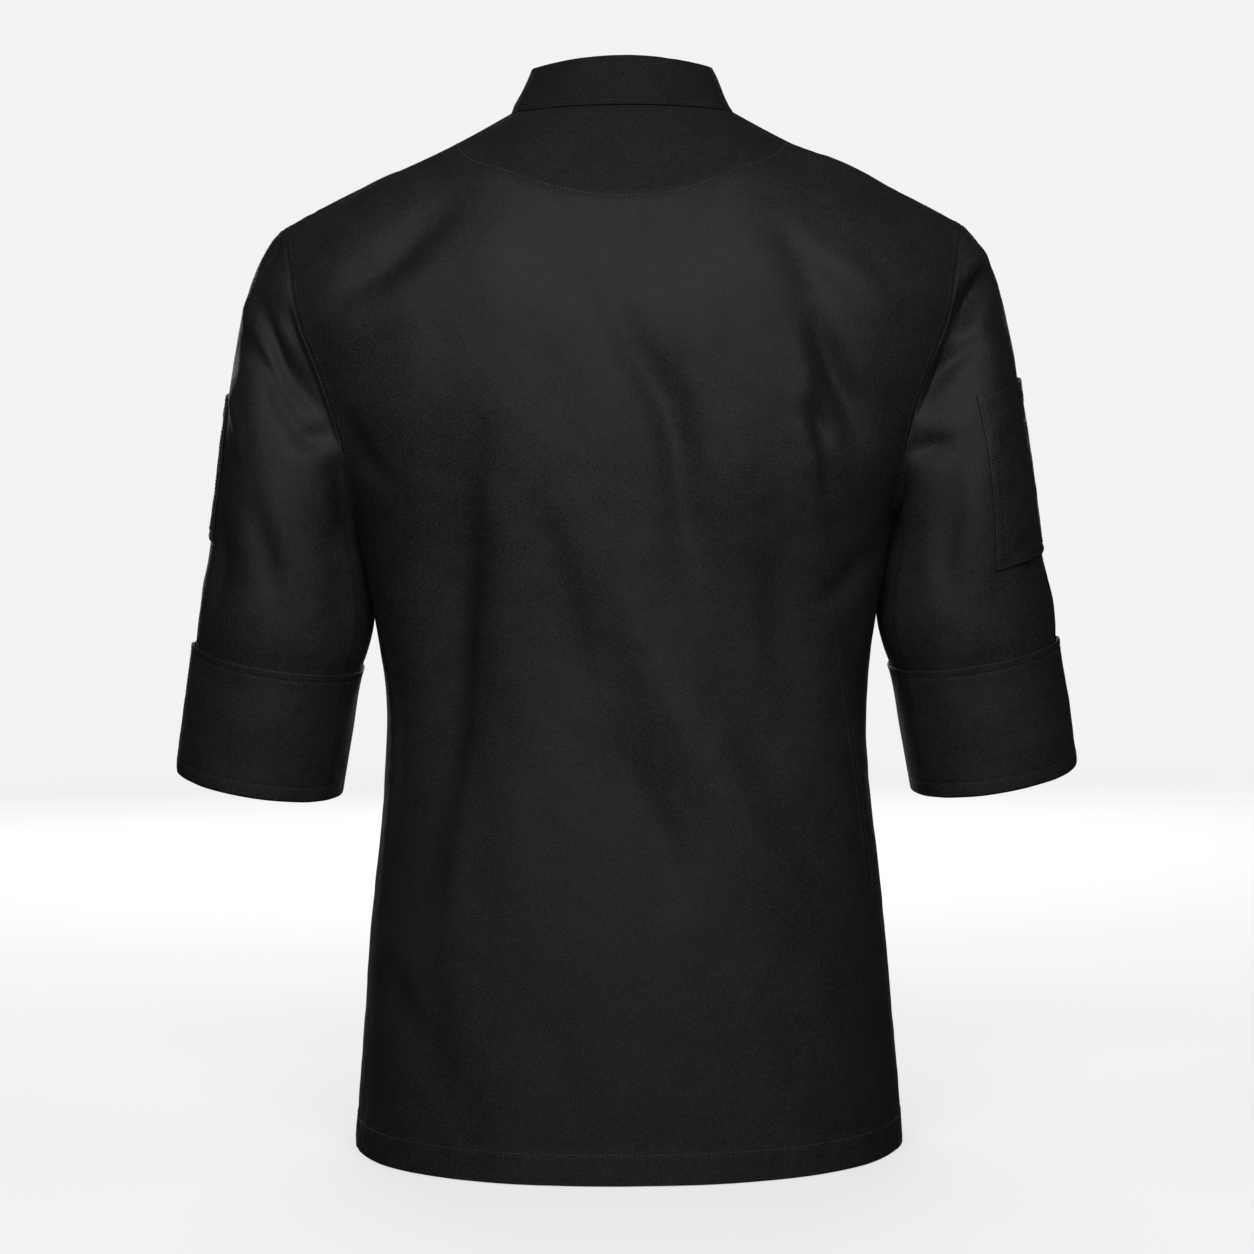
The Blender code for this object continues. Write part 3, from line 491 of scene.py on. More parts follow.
EDGE_FADE = 14.0


def fold_depth(first, second, fold, top, middle, foot, axis):
    """Depth of a large fold that leaves its top, passes near its middle and ends at its foot."""
    part = np.linspace(0, 1, FOLD_POINTS)[:, None]
    top, middle, foot = (np.array(place, float) for place in (top, middle, foot))
    path = top * (1 - part) ** 2 + 2 * middle * part * (1 - part) + foot * part**2
    return crease(first, second, path, fold.width, fold.width, fold.depth, axis, FOLD_FULLNESS)


def body_creases(x, z, side, room):
    """Depth of the folds, creases and ripples, where room is the distance from any seam."""
    folds = [row for row in BODY_FOLDS if row.side == side]
    large = sum(fold_depth(x, z, row, row.top, row.middle, row.foot, 0) for row in folds)
    large = large * ease((SEAM_SHARE - np.abs(x) / half_width_at(z)) / SIDE_FADE)
    large = large * ease((top_edge(x, side)[1] - z) / TOP_FADE)
    small = sum(crease(x, z, row.path, row.wide, row.narrow, row.depth) for row in CREASES[side])
    small = small + 0.3 * ripples(x, z * 0.6, 52.0, 5 + side) + 0.09 * ripples(x, z, 21.0, 15 + side)
    return large + small * ease(room / EDGE_FADE)


# %% [markdown]
# ## From a grid to cloth
# Each panel becomes a shell: the grid, the same grid moved in by the cloth's thickness, and a
# rim that joins them. The shell carries a UV map in metres of real cloth, measured along the
# rows and the columns, so a woven pattern follows each panel as the yarns would.

# %% Shells
CLOTH = 1.2
SMOOTH_ANGLE = math.radians(48)
MIRROR = np.array([-1, 1, 1])


def finish_mesh(name, points, faces, uv, look):
    """A named object from points in millimetres, its faces and one UV pair for each point."""
    mesh = bpy.data.meshes.new(name)
    mesh.from_pydata((np.asarray(points) * MM).tolist(), [], faces)
    mesh.materials.append(look)
    if uv is not None:
        corners = np.empty(len(mesh.loops), np.int32)
        mesh.loops.foreach_get("vertex_index", corners)
        layer = mesh.uv_layers.new(name="weave")
        layer.data.foreach_set("uv", (np.asarray(uv)[corners] * MM).astype(np.float32).ravel())
    mesh.shade_smooth()
    mesh.set_sharp_from_angle(angle=SMOOTH_ANGLE)
    return link(name, mesh)


def rework(made, step):
    """Puts a mesh through one of Blender's mesh operators."""
    work = bmesh.new()
    work.from_mesh(made.data)
    step(work)
    work.to_mesh(made.data)
    work.free()


def signed_volume(points, faces):
    """Volume of a closed mesh of quads, below zero where its faces point in."""
    a, b, c, d = (points[faces[:, k]] for k in range(4))
    return (np.sum(a * np.cross(b, c)) + np.sum(a * np.cross(c, d))) / 6


def grid_quads(grid):
    """Numbers of a grid's points, and of the corners of its quads."""
    index = np.arange(grid.shape[0] * grid.shape[1]).reshape(grid.shape[:2])
    quads = np.stack([index[:-1, :-1], index[:-1, 1:], index[1:, 1:], index[1:, :-1]], axis=-1)
    return index, quads.reshape(-1, 4)


def shell(name, outer, inner, look, closed=False):
    """Closed wall between two grids. A closed grid repeats its first column as its last."""
    uv = np.stack([lengths(outer, 1), lengths(outer, 0)], axis=-1)
    index, quads = grid_quads(outer)
    count = index.size
    rims = [index[0, ::-1], index[-1]]
    if not closed:
        rims += [index[:, 0], index[::-1, -1]]
    faces = [quads, quads[:, ::-1] + count]
    faces += [np.stack([rim[1:], rim[:-1], rim[:-1] + count, rim[1:] + count], axis=-1) for rim in rims]
    faces = np.concatenate(faces)
    points = np.concatenate([outer.reshape(-1, 3), inner.reshape(-1, 3)])
    if signed_volume(points, faces) < 0:
        faces = faces[:, ::-1]
    made = finish_mesh(name, points, faces.tolist(), np.concatenate([uv.reshape(-1, 2)] * 2), look)
    if closed:
        rework(made, lambda work: bmesh.ops.remove_doubles(work, verts=work.verts, dist=1e-6))
    area = sum(face.area for face in made.data.polygons) / 2
    print(name, "quads:", len(made.data.polygons), "cloth in square metres:", round(area, 4))
    return made


# %% [markdown]
# ## Writing shader maths as sums
# A material is a net of nodes. Wiring each small sum by hand is slow to read, so a small class
# stands for one output in the net. Adding or multiplying two of them places the Math node.

# %% A small language for materials


class Signal:
    """One output socket of a net, with arithmetic that adds Math nodes."""

    def __init__(self, net, socket):
        self.net = net
        self.socket = socket

    def _math(self, operation, *values):
        return self.net.add("ShaderNodeMath", {"operation": operation}, dict(enumerate(values)))

    def __add__(self, other):
        return self._math("ADD", self, other)

    def __sub__(self, other):
        return self._math("SUBTRACT", self, other)

    def __rsub__(self, other):
        return self._math("SUBTRACT", other, self)

    def __mul__(self, other):
        return self._math("MULTIPLY", self, other)

    def sine(self):
        return self._math("SINE", self)

    def clamped(self):
        return self._math("MINIMUM", self._math("MAXIMUM", self, 0.0), 1.0)

    def ramp(self, start, reach):
        """0 up to a start, rising to 1 over a reach."""
        return ((self - start) * (1 / reach)).clamped()


class Net:
    """The nodes of a new material, or of a new world."""

    def __init__(self, owner, shader="Principled BSDF"):
        owner.use_nodes = True
        self.owner = owner
        self.nodes = owner.node_tree.nodes
        self.links = owner.node_tree.links
        self.shader = self.nodes[shader]

    def add(self, kind, settings=None, values=None, output=0):
        """Adds a node: its settings first, then values or links for its sockets."""
        node = self.nodes.new(kind)
        for key, value in (settings or {}).items():
            setattr(node, key, value)
        for key, value in (values or {}).items():
            self.put(node.inputs[key], value)
        return Signal(self, node.outputs[output])

    def put(self, socket, value):
        """Links a signal to a socket, or sets the socket's own value."""
        if isinstance(value, Signal):
            self.links.new(value.socket, socket)
        else:
            socket.default_value = value

    def place(self):
        return self.add("ShaderNodeTexCoord", output="Object")

    def parts(self, vector):
        """The x, y and z of a vector."""
        split = self.add("ShaderNodeSeparateXYZ", values={0: vector}).socket.node
        return [Signal(self, socket) for socket in split.outputs]

    def noise(self, place, scale, detail, roughness=0.5):
        values = {"Vector": place, "Scale": scale, "Detail": detail, "Roughness": roughness}
        return self.add("ShaderNodeTexNoise", values=values)

    def mix(self, factor, first, second):
        """A blend of two colours."""
        values = {0: factor, 6: (*first, 1.0), 7: (*second, 1.0)}
        return self.add("ShaderNodeMix", {"data_type": "RGBA"}, values, 2)

    def bump(self, strength, height):
        return self.add("ShaderNodeBump", values={"Strength": strength, "Distance": 0.0001, "Height": height})

    def finish(self, **values):
        """Puts values or signals on the main shader's sockets, named with _ for a space."""
        for key, value in values.items():
            self.put(self.shader.inputs[key.replace("_", " ").title().replace("Ior", "IOR")], value)
        return self.owner


# %% [markdown]
# ## The black twill
# Twill is woven so that fine ribs run across the cloth at a slant. This one is a smooth blend
# of cotton and polyester, dyed black, and it has a soft sheen. Close up it shows the ribs and
# many paler flecks where single fibres catch the light. From further away it shows cloudy
# patches, where handling and pressing have laid the fibres differently.

# %% Cloth, thread and button materials
RIB_PITCH = 0.0011
YARN_PITCH = 0.0008
FULL_TURN = 2 * math.pi
# The next three values place the twill's painted shade: an oval about the back of the neck and a range of
# heights low down, where the cloth is also made rougher.
YOKE_SHADE_WIDE = 0.122
YOKE_SHADE_DEEP = 0.058
LOW_SHADE_AND_ROUGH_FADE = (-0.58, -0.26)


def grey(level):
    return (level, level, level)


def twill(name, dark, light, roughness, rib=1.0):
    """Woven black cloth, its colour darkened by painted shade and made rougher over the back's yoke and low
    down. Dark and light are greys.
    """
    net = Net(bpy.data.materials.new(name))
    across, along, _ = net.parts(net.add("ShaderNodeUVMap", {"uv_map": "weave"}))
    ribs = ((across + along) * (FULL_TURN / RIB_PITCH)).sine()
    yarns = ((across - along) * (FULL_TURN / YARN_PITCH)).sine()
    place = net.place()
    x, y, z = net.parts(place)
    fleck = net.noise(place, 1350.0, 1.0, 0.6)
    cloud = net.noise(place, 34.0, 3.0, 0.55)
    # Painted shade: the base colour is darkened in an oval below the collar on the back and low down on the
    # cloth, and both places are also made rougher.
    outside = ((x * x) * YOKE_SHADE_WIDE**-2 + (z * z) * YOKE_SHADE_DEEP**-2).ramp(0.85, 0.3)
    yoke_shade_and_rough = (1 - outside) * y.ramp(0.0, 0.01)
    low = 1 - z.ramp(LOW_SHADE_AND_ROUGH_FADE[0], LOW_SHADE_AND_ROUGH_FADE[1] - LOW_SHADE_AND_ROUGH_FADE[0])
    dull = yoke_shade_and_rough * 0.9 + low * 0.55
    shade = (fleck - 0.5) * 4.2 + (cloud - 0.5) * 0.7 + 0.48 - dull * 0.26
    height = ribs * (0.3 * rib) + yarns * (0.14 * rib) + fleck * 1.3
    rough = cloud * 0.1 + fleck * 0.3 + dull * 0.22 + (roughness - 0.2)
    colour = net.mix(shade.clamped(), dark, light)
    net.finish(base_color=colour, roughness=rough, normal=net.bump(0.5, height))
    return net.finish(specular_ior_level=0.36)


def thread(name, colour):
    """Polyester sewing thread, a little shinier than the cloth."""
    net = Net(bpy.data.materials.new(name))
    twist = net.noise(net.place(), 1900.0, 1.0)
    tint = net.mix(twist, [0.6 * part for part in colour], [1.35 * part for part in colour])
    net.finish(base_color=tint, roughness=twist * 0.2 + 0.5, normal=net.bump(0.4, twist))
    return net.finish(specular_ior_level=0.3)


def button_plastic(name):
    """Black moulded plastic with a worn half gloss."""
    net = Net(bpy.data.materials.new(name))
    wear = net.noise(net.place(), 420.0, 3.0)
    tint = net.mix(wear, grey(0.008), grey(0.018))
    net.finish(base_color=tint, roughness=wear * 0.2 + 0.22, normal=net.bump(0.15, wear))
    return net.finish(coat_weight=0.25, coat_roughness=0.2)


CLOTH_LOOK = twill("black_twill", grey(0.001), (0.021, 0.021, 0.0216), 0.67)
COLLAR_LOOK = twill("collar_twill", grey(0.001), (0.019, 0.019, 0.0196), 0.7, rib=1.2)
THREAD_LOOK = thread("black_thread", (0.035, 0.035, 0.036))
PALE_THREAD_LOOK = thread("worn_thread", (0.075, 0.075, 0.077))
BUTTON_LOOK = button_plastic("black_plastic")
print("materials:", [look.name for look in (CLOTH_LOOK, COLLAR_LOOK, THREAD_LOOK, BUTTON_LOOK)])

# %% [markdown]
# ## Stitches
# A row of stitches is the same short bar again and again along a line, which is what Geometry
# Nodes do well. The tree takes lines, places points at the stitch's pitch, puts a small bar
# of thread on each along the line, turns the bars into real mesh and gives them the thread.

# %% The stitch tree


def stitch_tree():
    """Geometry Nodes that lay stitches along the lines of a mesh."""
    tree = bpy.data.node_groups.new("stitch_rows", "GeometryNodeTree")

    def socket(label, kind, value=None, way="INPUT"):
        made = tree.interface.new_socket(label, in_out=way, socket_type="NodeSocket" + kind)
        if value is not None:
            made.default_value = value

    def node(kind, settings=None, **links):
        made = tree.nodes.new(kind)
        for key, value in (settings or {}).items():
            setattr(made, key, value)
        for key, value in links.items():
            entry = made.inputs[key.replace("_", " ")]
            if isinstance(value, bpy.types.NodeSocket):
                tree.links.new(value, entry)
            else:
                entry.default_value = value
        return made.outputs[0] if len(made.outputs) else made

    socket("Geometry", "Geometry")
    for label, value in (("Pitch", 0.003), ("Length", 0.0022), ("Thickness", 0.0005)):
        socket(label, "Float", value)
    socket("Thread", "Material")
    socket("Geometry", "Geometry", way="OUTPUT")
    given = tree.nodes.new("NodeGroupInput").outputs
    lines = node("GeometryNodeMeshToCurve", Mesh=given["Geometry"])
    even = node("GeometryNodeResampleCurve", {"mode": "LENGTH"}, Curve=lines, Length=given["Pitch"])
    tangent = node("GeometryNodeInputTangent")
    turn = node("FunctionNodeAlignRotationToVector", {"axis": "X"}, Vector=tangent)
    sway = node(
        "FunctionNodeRandomValue", {"data_type": "FLOAT_VECTOR"},
        Min=(-0.02, -0.05, -0.05), Max=(0.02, 0.05, 0.05), Seed=7,
    )
    swayed = node("FunctionNodeRotateRotation", {"rotation_space": "LOCAL"}, Rotation=turn, Rotate_By=sway)
    bar = node("GeometryNodeMeshUVSphere", Segments=6, Rings=4, Radius=0.5)
    size = node("ShaderNodeCombineXYZ", X=given["Length"], Y=given["Thickness"], Z=given["Thickness"])
    shaped = node("GeometryNodeTransform", Geometry=bar, Scale=size)
    laid = node("GeometryNodeInstanceOnPoints", Points=even, Instance=shaped, Rotation=swayed)
    real = node("GeometryNodeRealizeInstances", Geometry=laid)
    painted = node("GeometryNodeSetMaterial", Geometry=real, Material=given["Thread"])
    node("NodeGroupOutput", Geometry=painted)
    return tree


STITCHES = stitch_tree()


def applied(made, name):
    """The mesh that an object's modifiers make of it. The object itself goes."""
    graph = bpy.context.evaluated_depsgraph_get()
    mesh = bpy.data.meshes.new_from_object(made.evaluated_get(graph))
    mesh.name = name
    mesh.shade_smooth()
    bpy.data.objects.remove(made)
    return mesh


def stitch_rows(name, lines, thread_look, pitch=2.8, length=1.9, thickness=0.55):
    """Stitches along lines of points in millimetres, as one plain mesh."""
    points, edges = [], []
    for line in lines:
        edges += [(len(points) + k, len(points) + k + 1) for k in range(len(line) - 1)]
        points += (np.asarray(line) * MM).tolist()
    mesh = bpy.data.meshes.new(name + "_lines")
    mesh.from_pydata(points, edges, [])
    holder = link(name + "_lines", mesh)
    modifier = holder.modifiers.new("stitches", "NODES")
    modifier.node_group = STITCHES
    sizes = {"Pitch": pitch * MM, "Length": length * MM, "Thickness": thickness * MM, "Thread": thread_look}
    for item in STITCHES.interface.items_tree:
        if item.in_out == "INPUT" and item.name in sizes:
            modifier[item.identifier] = sizes[item.name]
    made = link(name, applied(holder, name))
    print(name, "faces:", len(made.data.polygons))
    return made


def at_distance(points, normals, field, value, axis, lift=0.25):
    """Line where a field over a grid first reaches a value, going along one axis, just proud."""
    if axis == 0:
        points, normals, field = points.swapaxes(0, 1), normals.swapaxes(0, 1), field.T
    line = []
    for place, normal, amount in zip(points, normals, field):
        index = int(np.argmax(amount >= value))
        if index > 0:
            part = (value - amount[index - 1]) / (amount[index] - amount[index - 1])
            point = place[index - 1] * (1 - part) + place[index] * part
            line.append(point + unit(normal[index - 1] * (1 - part) + normal[index] * part) * lift)
    return np.array(line)


def tree_of(grid):
    """Search tree of a grid's quads, in millimetres."""
    return BVHTree.FromPolygons(grid.reshape(-1, 3).tolist(), grid_quads(grid)[1].tolist())


def project(tree, starts, heading, lift=0.25):
    """Points where lines in one direction first meet a surface, lifted just off it."""
    found = []
    for start in starts:
        place, normal, _, _ = tree.ray_cast(Vector(start), Vector(heading))
        if place is not None:
            outwards = normal if normal.dot(Vector(heading)) < 0 else -normal
            found.append(np.array(place) + np.array(outwards) * lift)
    return np.array(found)


# %% [markdown]
# ## The back and the two fronts
# A maker sews the back to both fronts at the shoulders and the sides, and laps the left front
# over the right one. Along each seam the cloth dips to the stitching, rises beside it and
# puckers a little, because thread is always drawn slightly tight. The hem is turned up twice,
# so it is thicker than the cloth above it. All this is added on the outside only, so the
# inside of each wall stays smooth.

# %% Sizes and rules of seams and hem
SEAM_GAP = 0.1
LAP = 85.0
LAP_STEP = 2.0
LAP_TOP_OVER = -80.0
LAP_TOP_UNDER = -98.0
LAP_TOP_SLOPE = 0.3
LAP_RAISED_TO = 88.0
LAP_FADE = 22.0
LAP_RAISE = 3.2
LAP_SETTLE_ROWS = 12
HEM_DEPTH = 21.0
TOUCHES = ((-345.0, 32.0, 1.05), (-309.0, 24.0, 2.5))
TOUCH_FROM = 0.85
TOUCH_FADE = 0.13
ARMHOLE_STITCH = 5.0
EDGE_STITCH = 6.0
CENTRE = np.array([0, 0, HEM_Z / 2])

Panel = namedtuple("Panel", "outer inner normals first last hem top")


def touching(z):
    """How far the body and the sleeve each lean towards the other where they touch."""
    return sum(most * groove(z, place, reach) for place, reach, most in TOUCHES)


def edge_distances(grid):
    """Distances over a grid from its first and last columns and its first and last rows."""
    across, upwards = lengths(grid, 1), lengths(grid, 0)
    return across, across[:, -1:] - across, upwards, upwards[-1:] - upwards


def seam_relief(distance, along, seed, stitch=None, height=0.16):
    """Height beside a seam: a dip at the seam, a raised band, a stitched dent and puckers."""
    raised = height * ease(distance / 1.5) * band(distance, (stitch or 3.0) + 0.8, 3.0)
    dent = 0.14 * groove(distance, stitch, 0.9) if stitch else 0
    pucker = ripples(along, distance * 0.25, 9.5, seed) * 0.22 * groove(distance, 0, 10)
    return raised - dent + pucker * ease(distance / 2.5)


def hem_relief(distance, along, seed):
    """Height of a doubled hem with slanting drag lines between its fold and its stitching."""
    raised = 0.55 * band(distance, HEM_DEPTH + 0.8, 1.6)
    dent = 0.45 * groove(distance, HEM_DEPTH, 1.0)
    drag = ripples(along + 0.5 * distance, distance * 0.2, 13.0, seed) * 0.16
    return raised - dent + drag * (ease(distance / 4) * band(distance, HEM_DEPTH + 4, 8.0))


def armhole_side(distance, rows_along, seed):
    """Relief beside a side seam below the underarm and beside a stitched armhole above it."""
    upper = np.clip((np.arange(distance.shape[0]) - UNDERARM_ROW) / 4, 0, 1)[:, None]
    plain = seam_relief(distance, rows_along, seed)
    stitched = seam_relief(distance, rows_along, seed, ARMHOLE_STITCH)
    return plain + (stitched - plain) * upper


def lap_grid(top_z):
    """Grid of a front's lap past the centre, from its free edge to next to the centre."""
    width = LAP - LAP_STEP
    across = LAP_STEP + width * (1 - graded(width, LAP_CELL, SEAM_CELL, SEAM_CELLS_REACH, (0,)))
    upper_z = UNDERARM_Z + (top_z - LAP_TOP_SLOPE * across - UNDERARM_Z) * UPPER[:, None]
    z = np.concatenate([LOWER_Z + 0 * across, upper_z])
    x = -across + 0 * z
    return np.stack([x, body_depth(x, z, FRONT), z], axis=-1)


def sewn_base(grid, side, hand, shoulders, seam_columns, raised=0):
    """A panel's grid with its creases, and its normals. Hand is -1 for the right front."""
    normals = grid_normals(grid, CENTRE)
    first, last, _, top = edge_distances(grid)
    room = np.minimum(last, top) if side == FRONT else np.minimum(np.minimum(first, last), top)
    depth = body_creases(grid[..., 0] * hand, grid[..., 2], side, room) - raised
    grid = grid - normals * depth[..., None]
    normals = grid_normals(grid, CENTRE)
    slope = -SHOULDER_TIP[2] / (SHOULDER_TIP[0] - NECK_HALF_WIDTH)
    outwards = np.sign(grid[-1, shoulders, 0])
    normals[-1, shoulders] = unit(np.stack([slope * outwards, 0 * outwards, 0 * outwards + 1], axis=-1))
    share = np.abs(grid[..., 0]) / half_width_at(grid[..., 2])
    grid[..., 0] += touching(grid[..., 2]) * ease((share - TOUCH_FROM) / TOUCH_FADE) * np.sign(grid[..., 0])
    grid[-1, shoulders, 1] += side * SEAM_GAP / 2
    for column in seam_columns:
        grid[: UNDERARM_ROW + 1, column, 1] += side * SEAM_GAP / 2
    return grid, normals


def front_base(over):
    """Grid and normals of a front on +X, with the lap of the one that lies over or under."""
    grid = np.concatenate([lap_grid(LAP_TOP_OVER if over else LAP_TOP_UNDER), half_front], axis=1)
    raised = 0
    if over:
        low = 1 - ease((grid[..., 0] - LAP_RAISED_TO) / LAP_FADE)
        at_top = 1 - ease((grid[-1, :, 0] - LAP_STEP) / LAP_FADE)
        settle = np.zeros(grid.shape[0])
        settle[-len(UPPER) :] = np.clip((UPPER - 1) * LAP_SETTLE_ROWS + 1, 0, 1)
        raised = LAP_RAISE * (low + (at_top - low) * settle[:, None])
    shoulders = np.arange(grid.shape[1] - (HALF - NECK_COLUMN) - 1, grid.shape[1])
    return sewn_base(grid, FRONT, 1 if over else -1, shoulders, (-1,), raised)


def share_side_normals(front_normals, column, mirror):
    """Gives the back and a front the same normals along the side seam where they meet."""
    rows = slice(0, UNDERARM_ROW + 1)
    shared = unit(back_normals[rows, column] * mirror + front_normals[rows, -1])
    back_normals[rows, column] = shared * mirror
    front_normals[rows, -1] = shared


def body_panel(base, normals, seed, is_front):
    """A panel from its grid and normals, with its seams and hem raised."""
    first, last, hem, top = edge_distances(base)
    if is_front:
        total = armhole_side(last, hem, seed) + seam_relief(top, first, seed + 1)
        total += hem_relief(hem, first, seed + 2)
        total += seam_relief(first + 1.5, hem, seed + 3, EDGE_STITCH + 1.5, 0.4)
        rim = np.minimum(last, top)
    else:
        total = armhole_side(first, hem, seed) + armhole_side(last, hem, seed + 1)
        total += seam_relief(top, first, seed + 2) + hem_relief(hem, first, seed + 3)
        rim = np.minimum(np.minimum(first, last), top)
    outer = base + normals * (total * ease(rim / 0.8))[..., None]
    return Panel(outer, base - normals * CLOTH, normals, first, last, hem, top)


# %% Make the back and the fronts
half_back, half_front = half_panel(BACK), half_panel(FRONT)
back_grid = np.concatenate([half_back[:, :0:-1] * (-1, 1, 1), half_back], axis=1)
back_shoulders = np.r_[0 : HALF - NECK_COLUMN + 1, HALF + NECK_COLUMN : 2 * HALF + 1]
back_base, back_normals = sewn_base(back_grid, BACK, 1, back_shoulders, (0, -1))
left_base, left_normals = front_base(True)
right_base, right_normals = front_base(False)
share_side_normals(left_normals, -1, 1)
share_side_normals(right_normals, 0, MIRROR)
back_panel = body_panel(back_base, back_normals, 21, False)
left_panel = body_panel(left_base, left_normals, 31, True)
right_panel = body_panel(right_base, right_normals, 41, True)
shell("back_dressed", back_panel.outer, back_panel.inner, CLOTH_LOOK)
shell("front_left_dressed", left_panel.outer, left_panel.inner, CLOTH_LOOK)
shell("front_right_dressed", right_panel.outer * MIRROR, right_panel.inner * MIRROR, CLOTH_LOOK)

# %% [markdown]
# ## Allowances inside the seams
# Beyond its stitching, every seam leaves a little cloth on the inside, pressed flat to each
# side. It closes the fine slit between two panels, so no light shines through a seam.

# %% Press the allowances flat
ALLOWANCE = 6
ALLOWANCE_LIFT = 0.3
ALLOWANCE_CLOTH = 0.5


def allowance(name, points, normals):
    """A thin strip just inside a seam, from a grid of inner points across it."""
    outer = points - normals * ALLOWANCE_LIFT
    return shell(name, outer, outer - normals * ALLOWANCE_CLOTH, CLOTH_LOOK)


allowances = []
near_tip = np.arange(HALF - NECK_COLUMN + 1)
near_side = np.arange(ALLOWANCE)[::-1]
below = slice(0, UNDERARM_ROW + 1)
seams = (("left", left_panel, 1, 2 * HALF, -1), ("right", right_panel, MIRROR, 0, 1))
for which, front, mirror, seam, step in seams:
    shoulder, side = [], []
    for behind, before in ((back_panel.inner, front.inner), (back_panel.normals, front.normals)):
        before = before[:, ::-1] * mirror
        upper = before[: -ALLOWANCE - 1 : -1, near_tip]
        shoulder.append(np.concatenate([behind[-ALLOWANCE:, seam + step * near_tip], upper]))
        lower = before[below, :ALLOWANCE]
        side.append(np.concatenate([behind[below, seam + step * near_side], lower], axis=1))
    allowances.append(allowance(f"shoulder_allowance_{which}", *shoulder))
    allowances.append(allowance(f"side_allowance_{which}", *side))

# %% [markdown]
# ## Sleeves
# A set-in sleeve starts at the armhole, drops over the shoulder, and becomes a tube that leans
# a little outwards and forwards. Its surface is a rule of two numbers: an angle round the arm
# (0 outside, 90 behind, 180 under the arm) and a row (0 armhole, 1 underarm, 2 hem). Creases
# are placed by angle and by the distance down the arm.

# %% The sleeve's tables
ARM_LEAN_OUT = math.radians(9.0)
ARM_LEAN_FORWARD = math.radians(4.0)
SLEEVE = table("along inner_x inner_z outer_x outer_z centre_y half_depth", (
    (0.0, 186.9, -307.3, 292.3, -290.7, 0.0, 66.0),
    (23.0, 181.8, -331.0, 296.2, -313.0, -1.5, 65.5),
    (46.0, 179.4, -354.6, 300.9, -335.4, -3.0, 65.0),
    (70.0, 183.8, -378.1, 304.4, -358.9, -4.7, 64.0),
    (86.0, 189.1, -393.3, 306.0, -374.7, -5.8, 61.5),
    (131.0, 197.5, -437.7, 314.2, -419.3, -8.9, 60.5),
    (176.0, 205.5, -482.1, 320.0, -463.9, -12.0, 60.0),
))
CAP_START_TOP = np.array((0.80, 0, -0.60))
CAP_START_UNDER = np.array((0.10, 0, -0.99))
CAP_BULGE = 0.15
CAP_START_PULL = 0.62
CAP_END_PULL = 1.2
CAP_END_STEP = 4.0
CAP_FOLD_FADE = 0.25
CAP_CREASE_FADE = 0.06
CUFF_TOP_ALONG = 83.0
NORMAL_TURN = 0.5
NORMAL_ROW = 0.02
SEAM_NORMAL_REACH = 105.0
SEAM_NORMAL_FADE = 30.0
ARM_RADIUS = SLEEVE[0].half_depth
SLEEVE_END = SLEEVE[-1].along
CUFF_ROW = 1 + CUFF_TOP_ALONG / SLEEVE_END
ARMS = ((1, "left"), (-1, "right"))

sleeve_inner = [smooth_table(SLEEVE, "along", name) for name in ("inner_x", "centre_y", "inner_z")]
sleeve_outer = [smooth_table(SLEEVE, "along", name) for name in ("outer_x", "centre_y", "outer_z")]
sleeve_half_depth = smooth_table(SLEEVE, "along", "half_depth")
armhole_turns = np.arange(-180.0, 180.5, 0.5)
armhole_ring = armhole_point(armhole_turns)


def wrapped(angle):
    """An angle brought between -180 and 180."""
    return (np.asarray(angle, float) + 180) % 360 - 180


def sleeve_ring(angle, along):
    """Point of the left sleeve's outside below the underarm."""
    turn = np.radians(angle)[..., None]
    backwards = np.array([0, math.cos(ARM_LEAN_FORWARD), -math.sin(ARM_LEAN_FORWARD)])
    sides = (sleeve_inner, sleeve_outer)
    inner, outer = (np.stack([curve(along) for curve in side], axis=-1) for side in sides)
    deep = sleeve_half_depth(along)[..., None] * backwards
    return (inner + outer) / 2 + (outer - inner) / 2 * np.cos(turn) + deep * np.sin(turn)


def sleeve_point(angle, row):
    """Point of the left sleeve's outside, without creases."""
    angle, row = np.broadcast_arrays(np.asarray(angle, float), np.asarray(row, float))
    turn = np.radians(angle)
    start = np.stack([np.interp(wrapped(angle), armhole_turns, column) for column in armhole_ring.T], axis=-1)
    start = start + (SEAM_GAP, 0, 0)
    end = sleeve_ring(angle, np.zeros(angle.shape))
    high = ((1 + np.cos(turn)) / 2)[..., None]
    leave = high * CAP_START_TOP + (1 - high) * CAP_START_UNDER
    leave[..., 1] = CAP_BULGE * np.sin(turn)
    arrive = sleeve_ring(angle, np.full(angle.shape, CAP_END_STEP)) - end
    distance = np.linalg.norm(end - start, axis=-1, keepdims=True)
    part = np.clip(row, 0, 1)[..., None]
    rest = 1 - part
    cap = start * (1 + 2 * part) * rest**2 + end * (1 + 2 * rest) * part**2
    cap = cap + unit(leave) * distance * CAP_START_PULL * part * rest**2
    cap = cap - unit(arrive) * distance * CAP_END_PULL * rest * part**2
    arm = sleeve_ring(angle, np.clip(row - 1, 0, 1) * SLEEVE_END)
    return np.where((row <= 1)[..., None], cap, arm)


def arm_level(point):
    """Distance of a point down the arm from the shoulder tip."""
    down = unit(np.array([math.sin(ARM_LEAN_OUT), -math.sin(ARM_LEAN_FORWARD), -math.cos(ARM_LEAN_OUT)]))
    return (point - SHOULDER_TIP) @ down


def sleeve_row_at(angle, level):
    """Row of the sleeve where it is at a level down the arm."""
    ends = np.zeros(np.shape(level)), np.full(np.shape(level), 2.0)
    return solve_falling(lambda row: -arm_level(sleeve_point(angle, row)), -level, *ends)


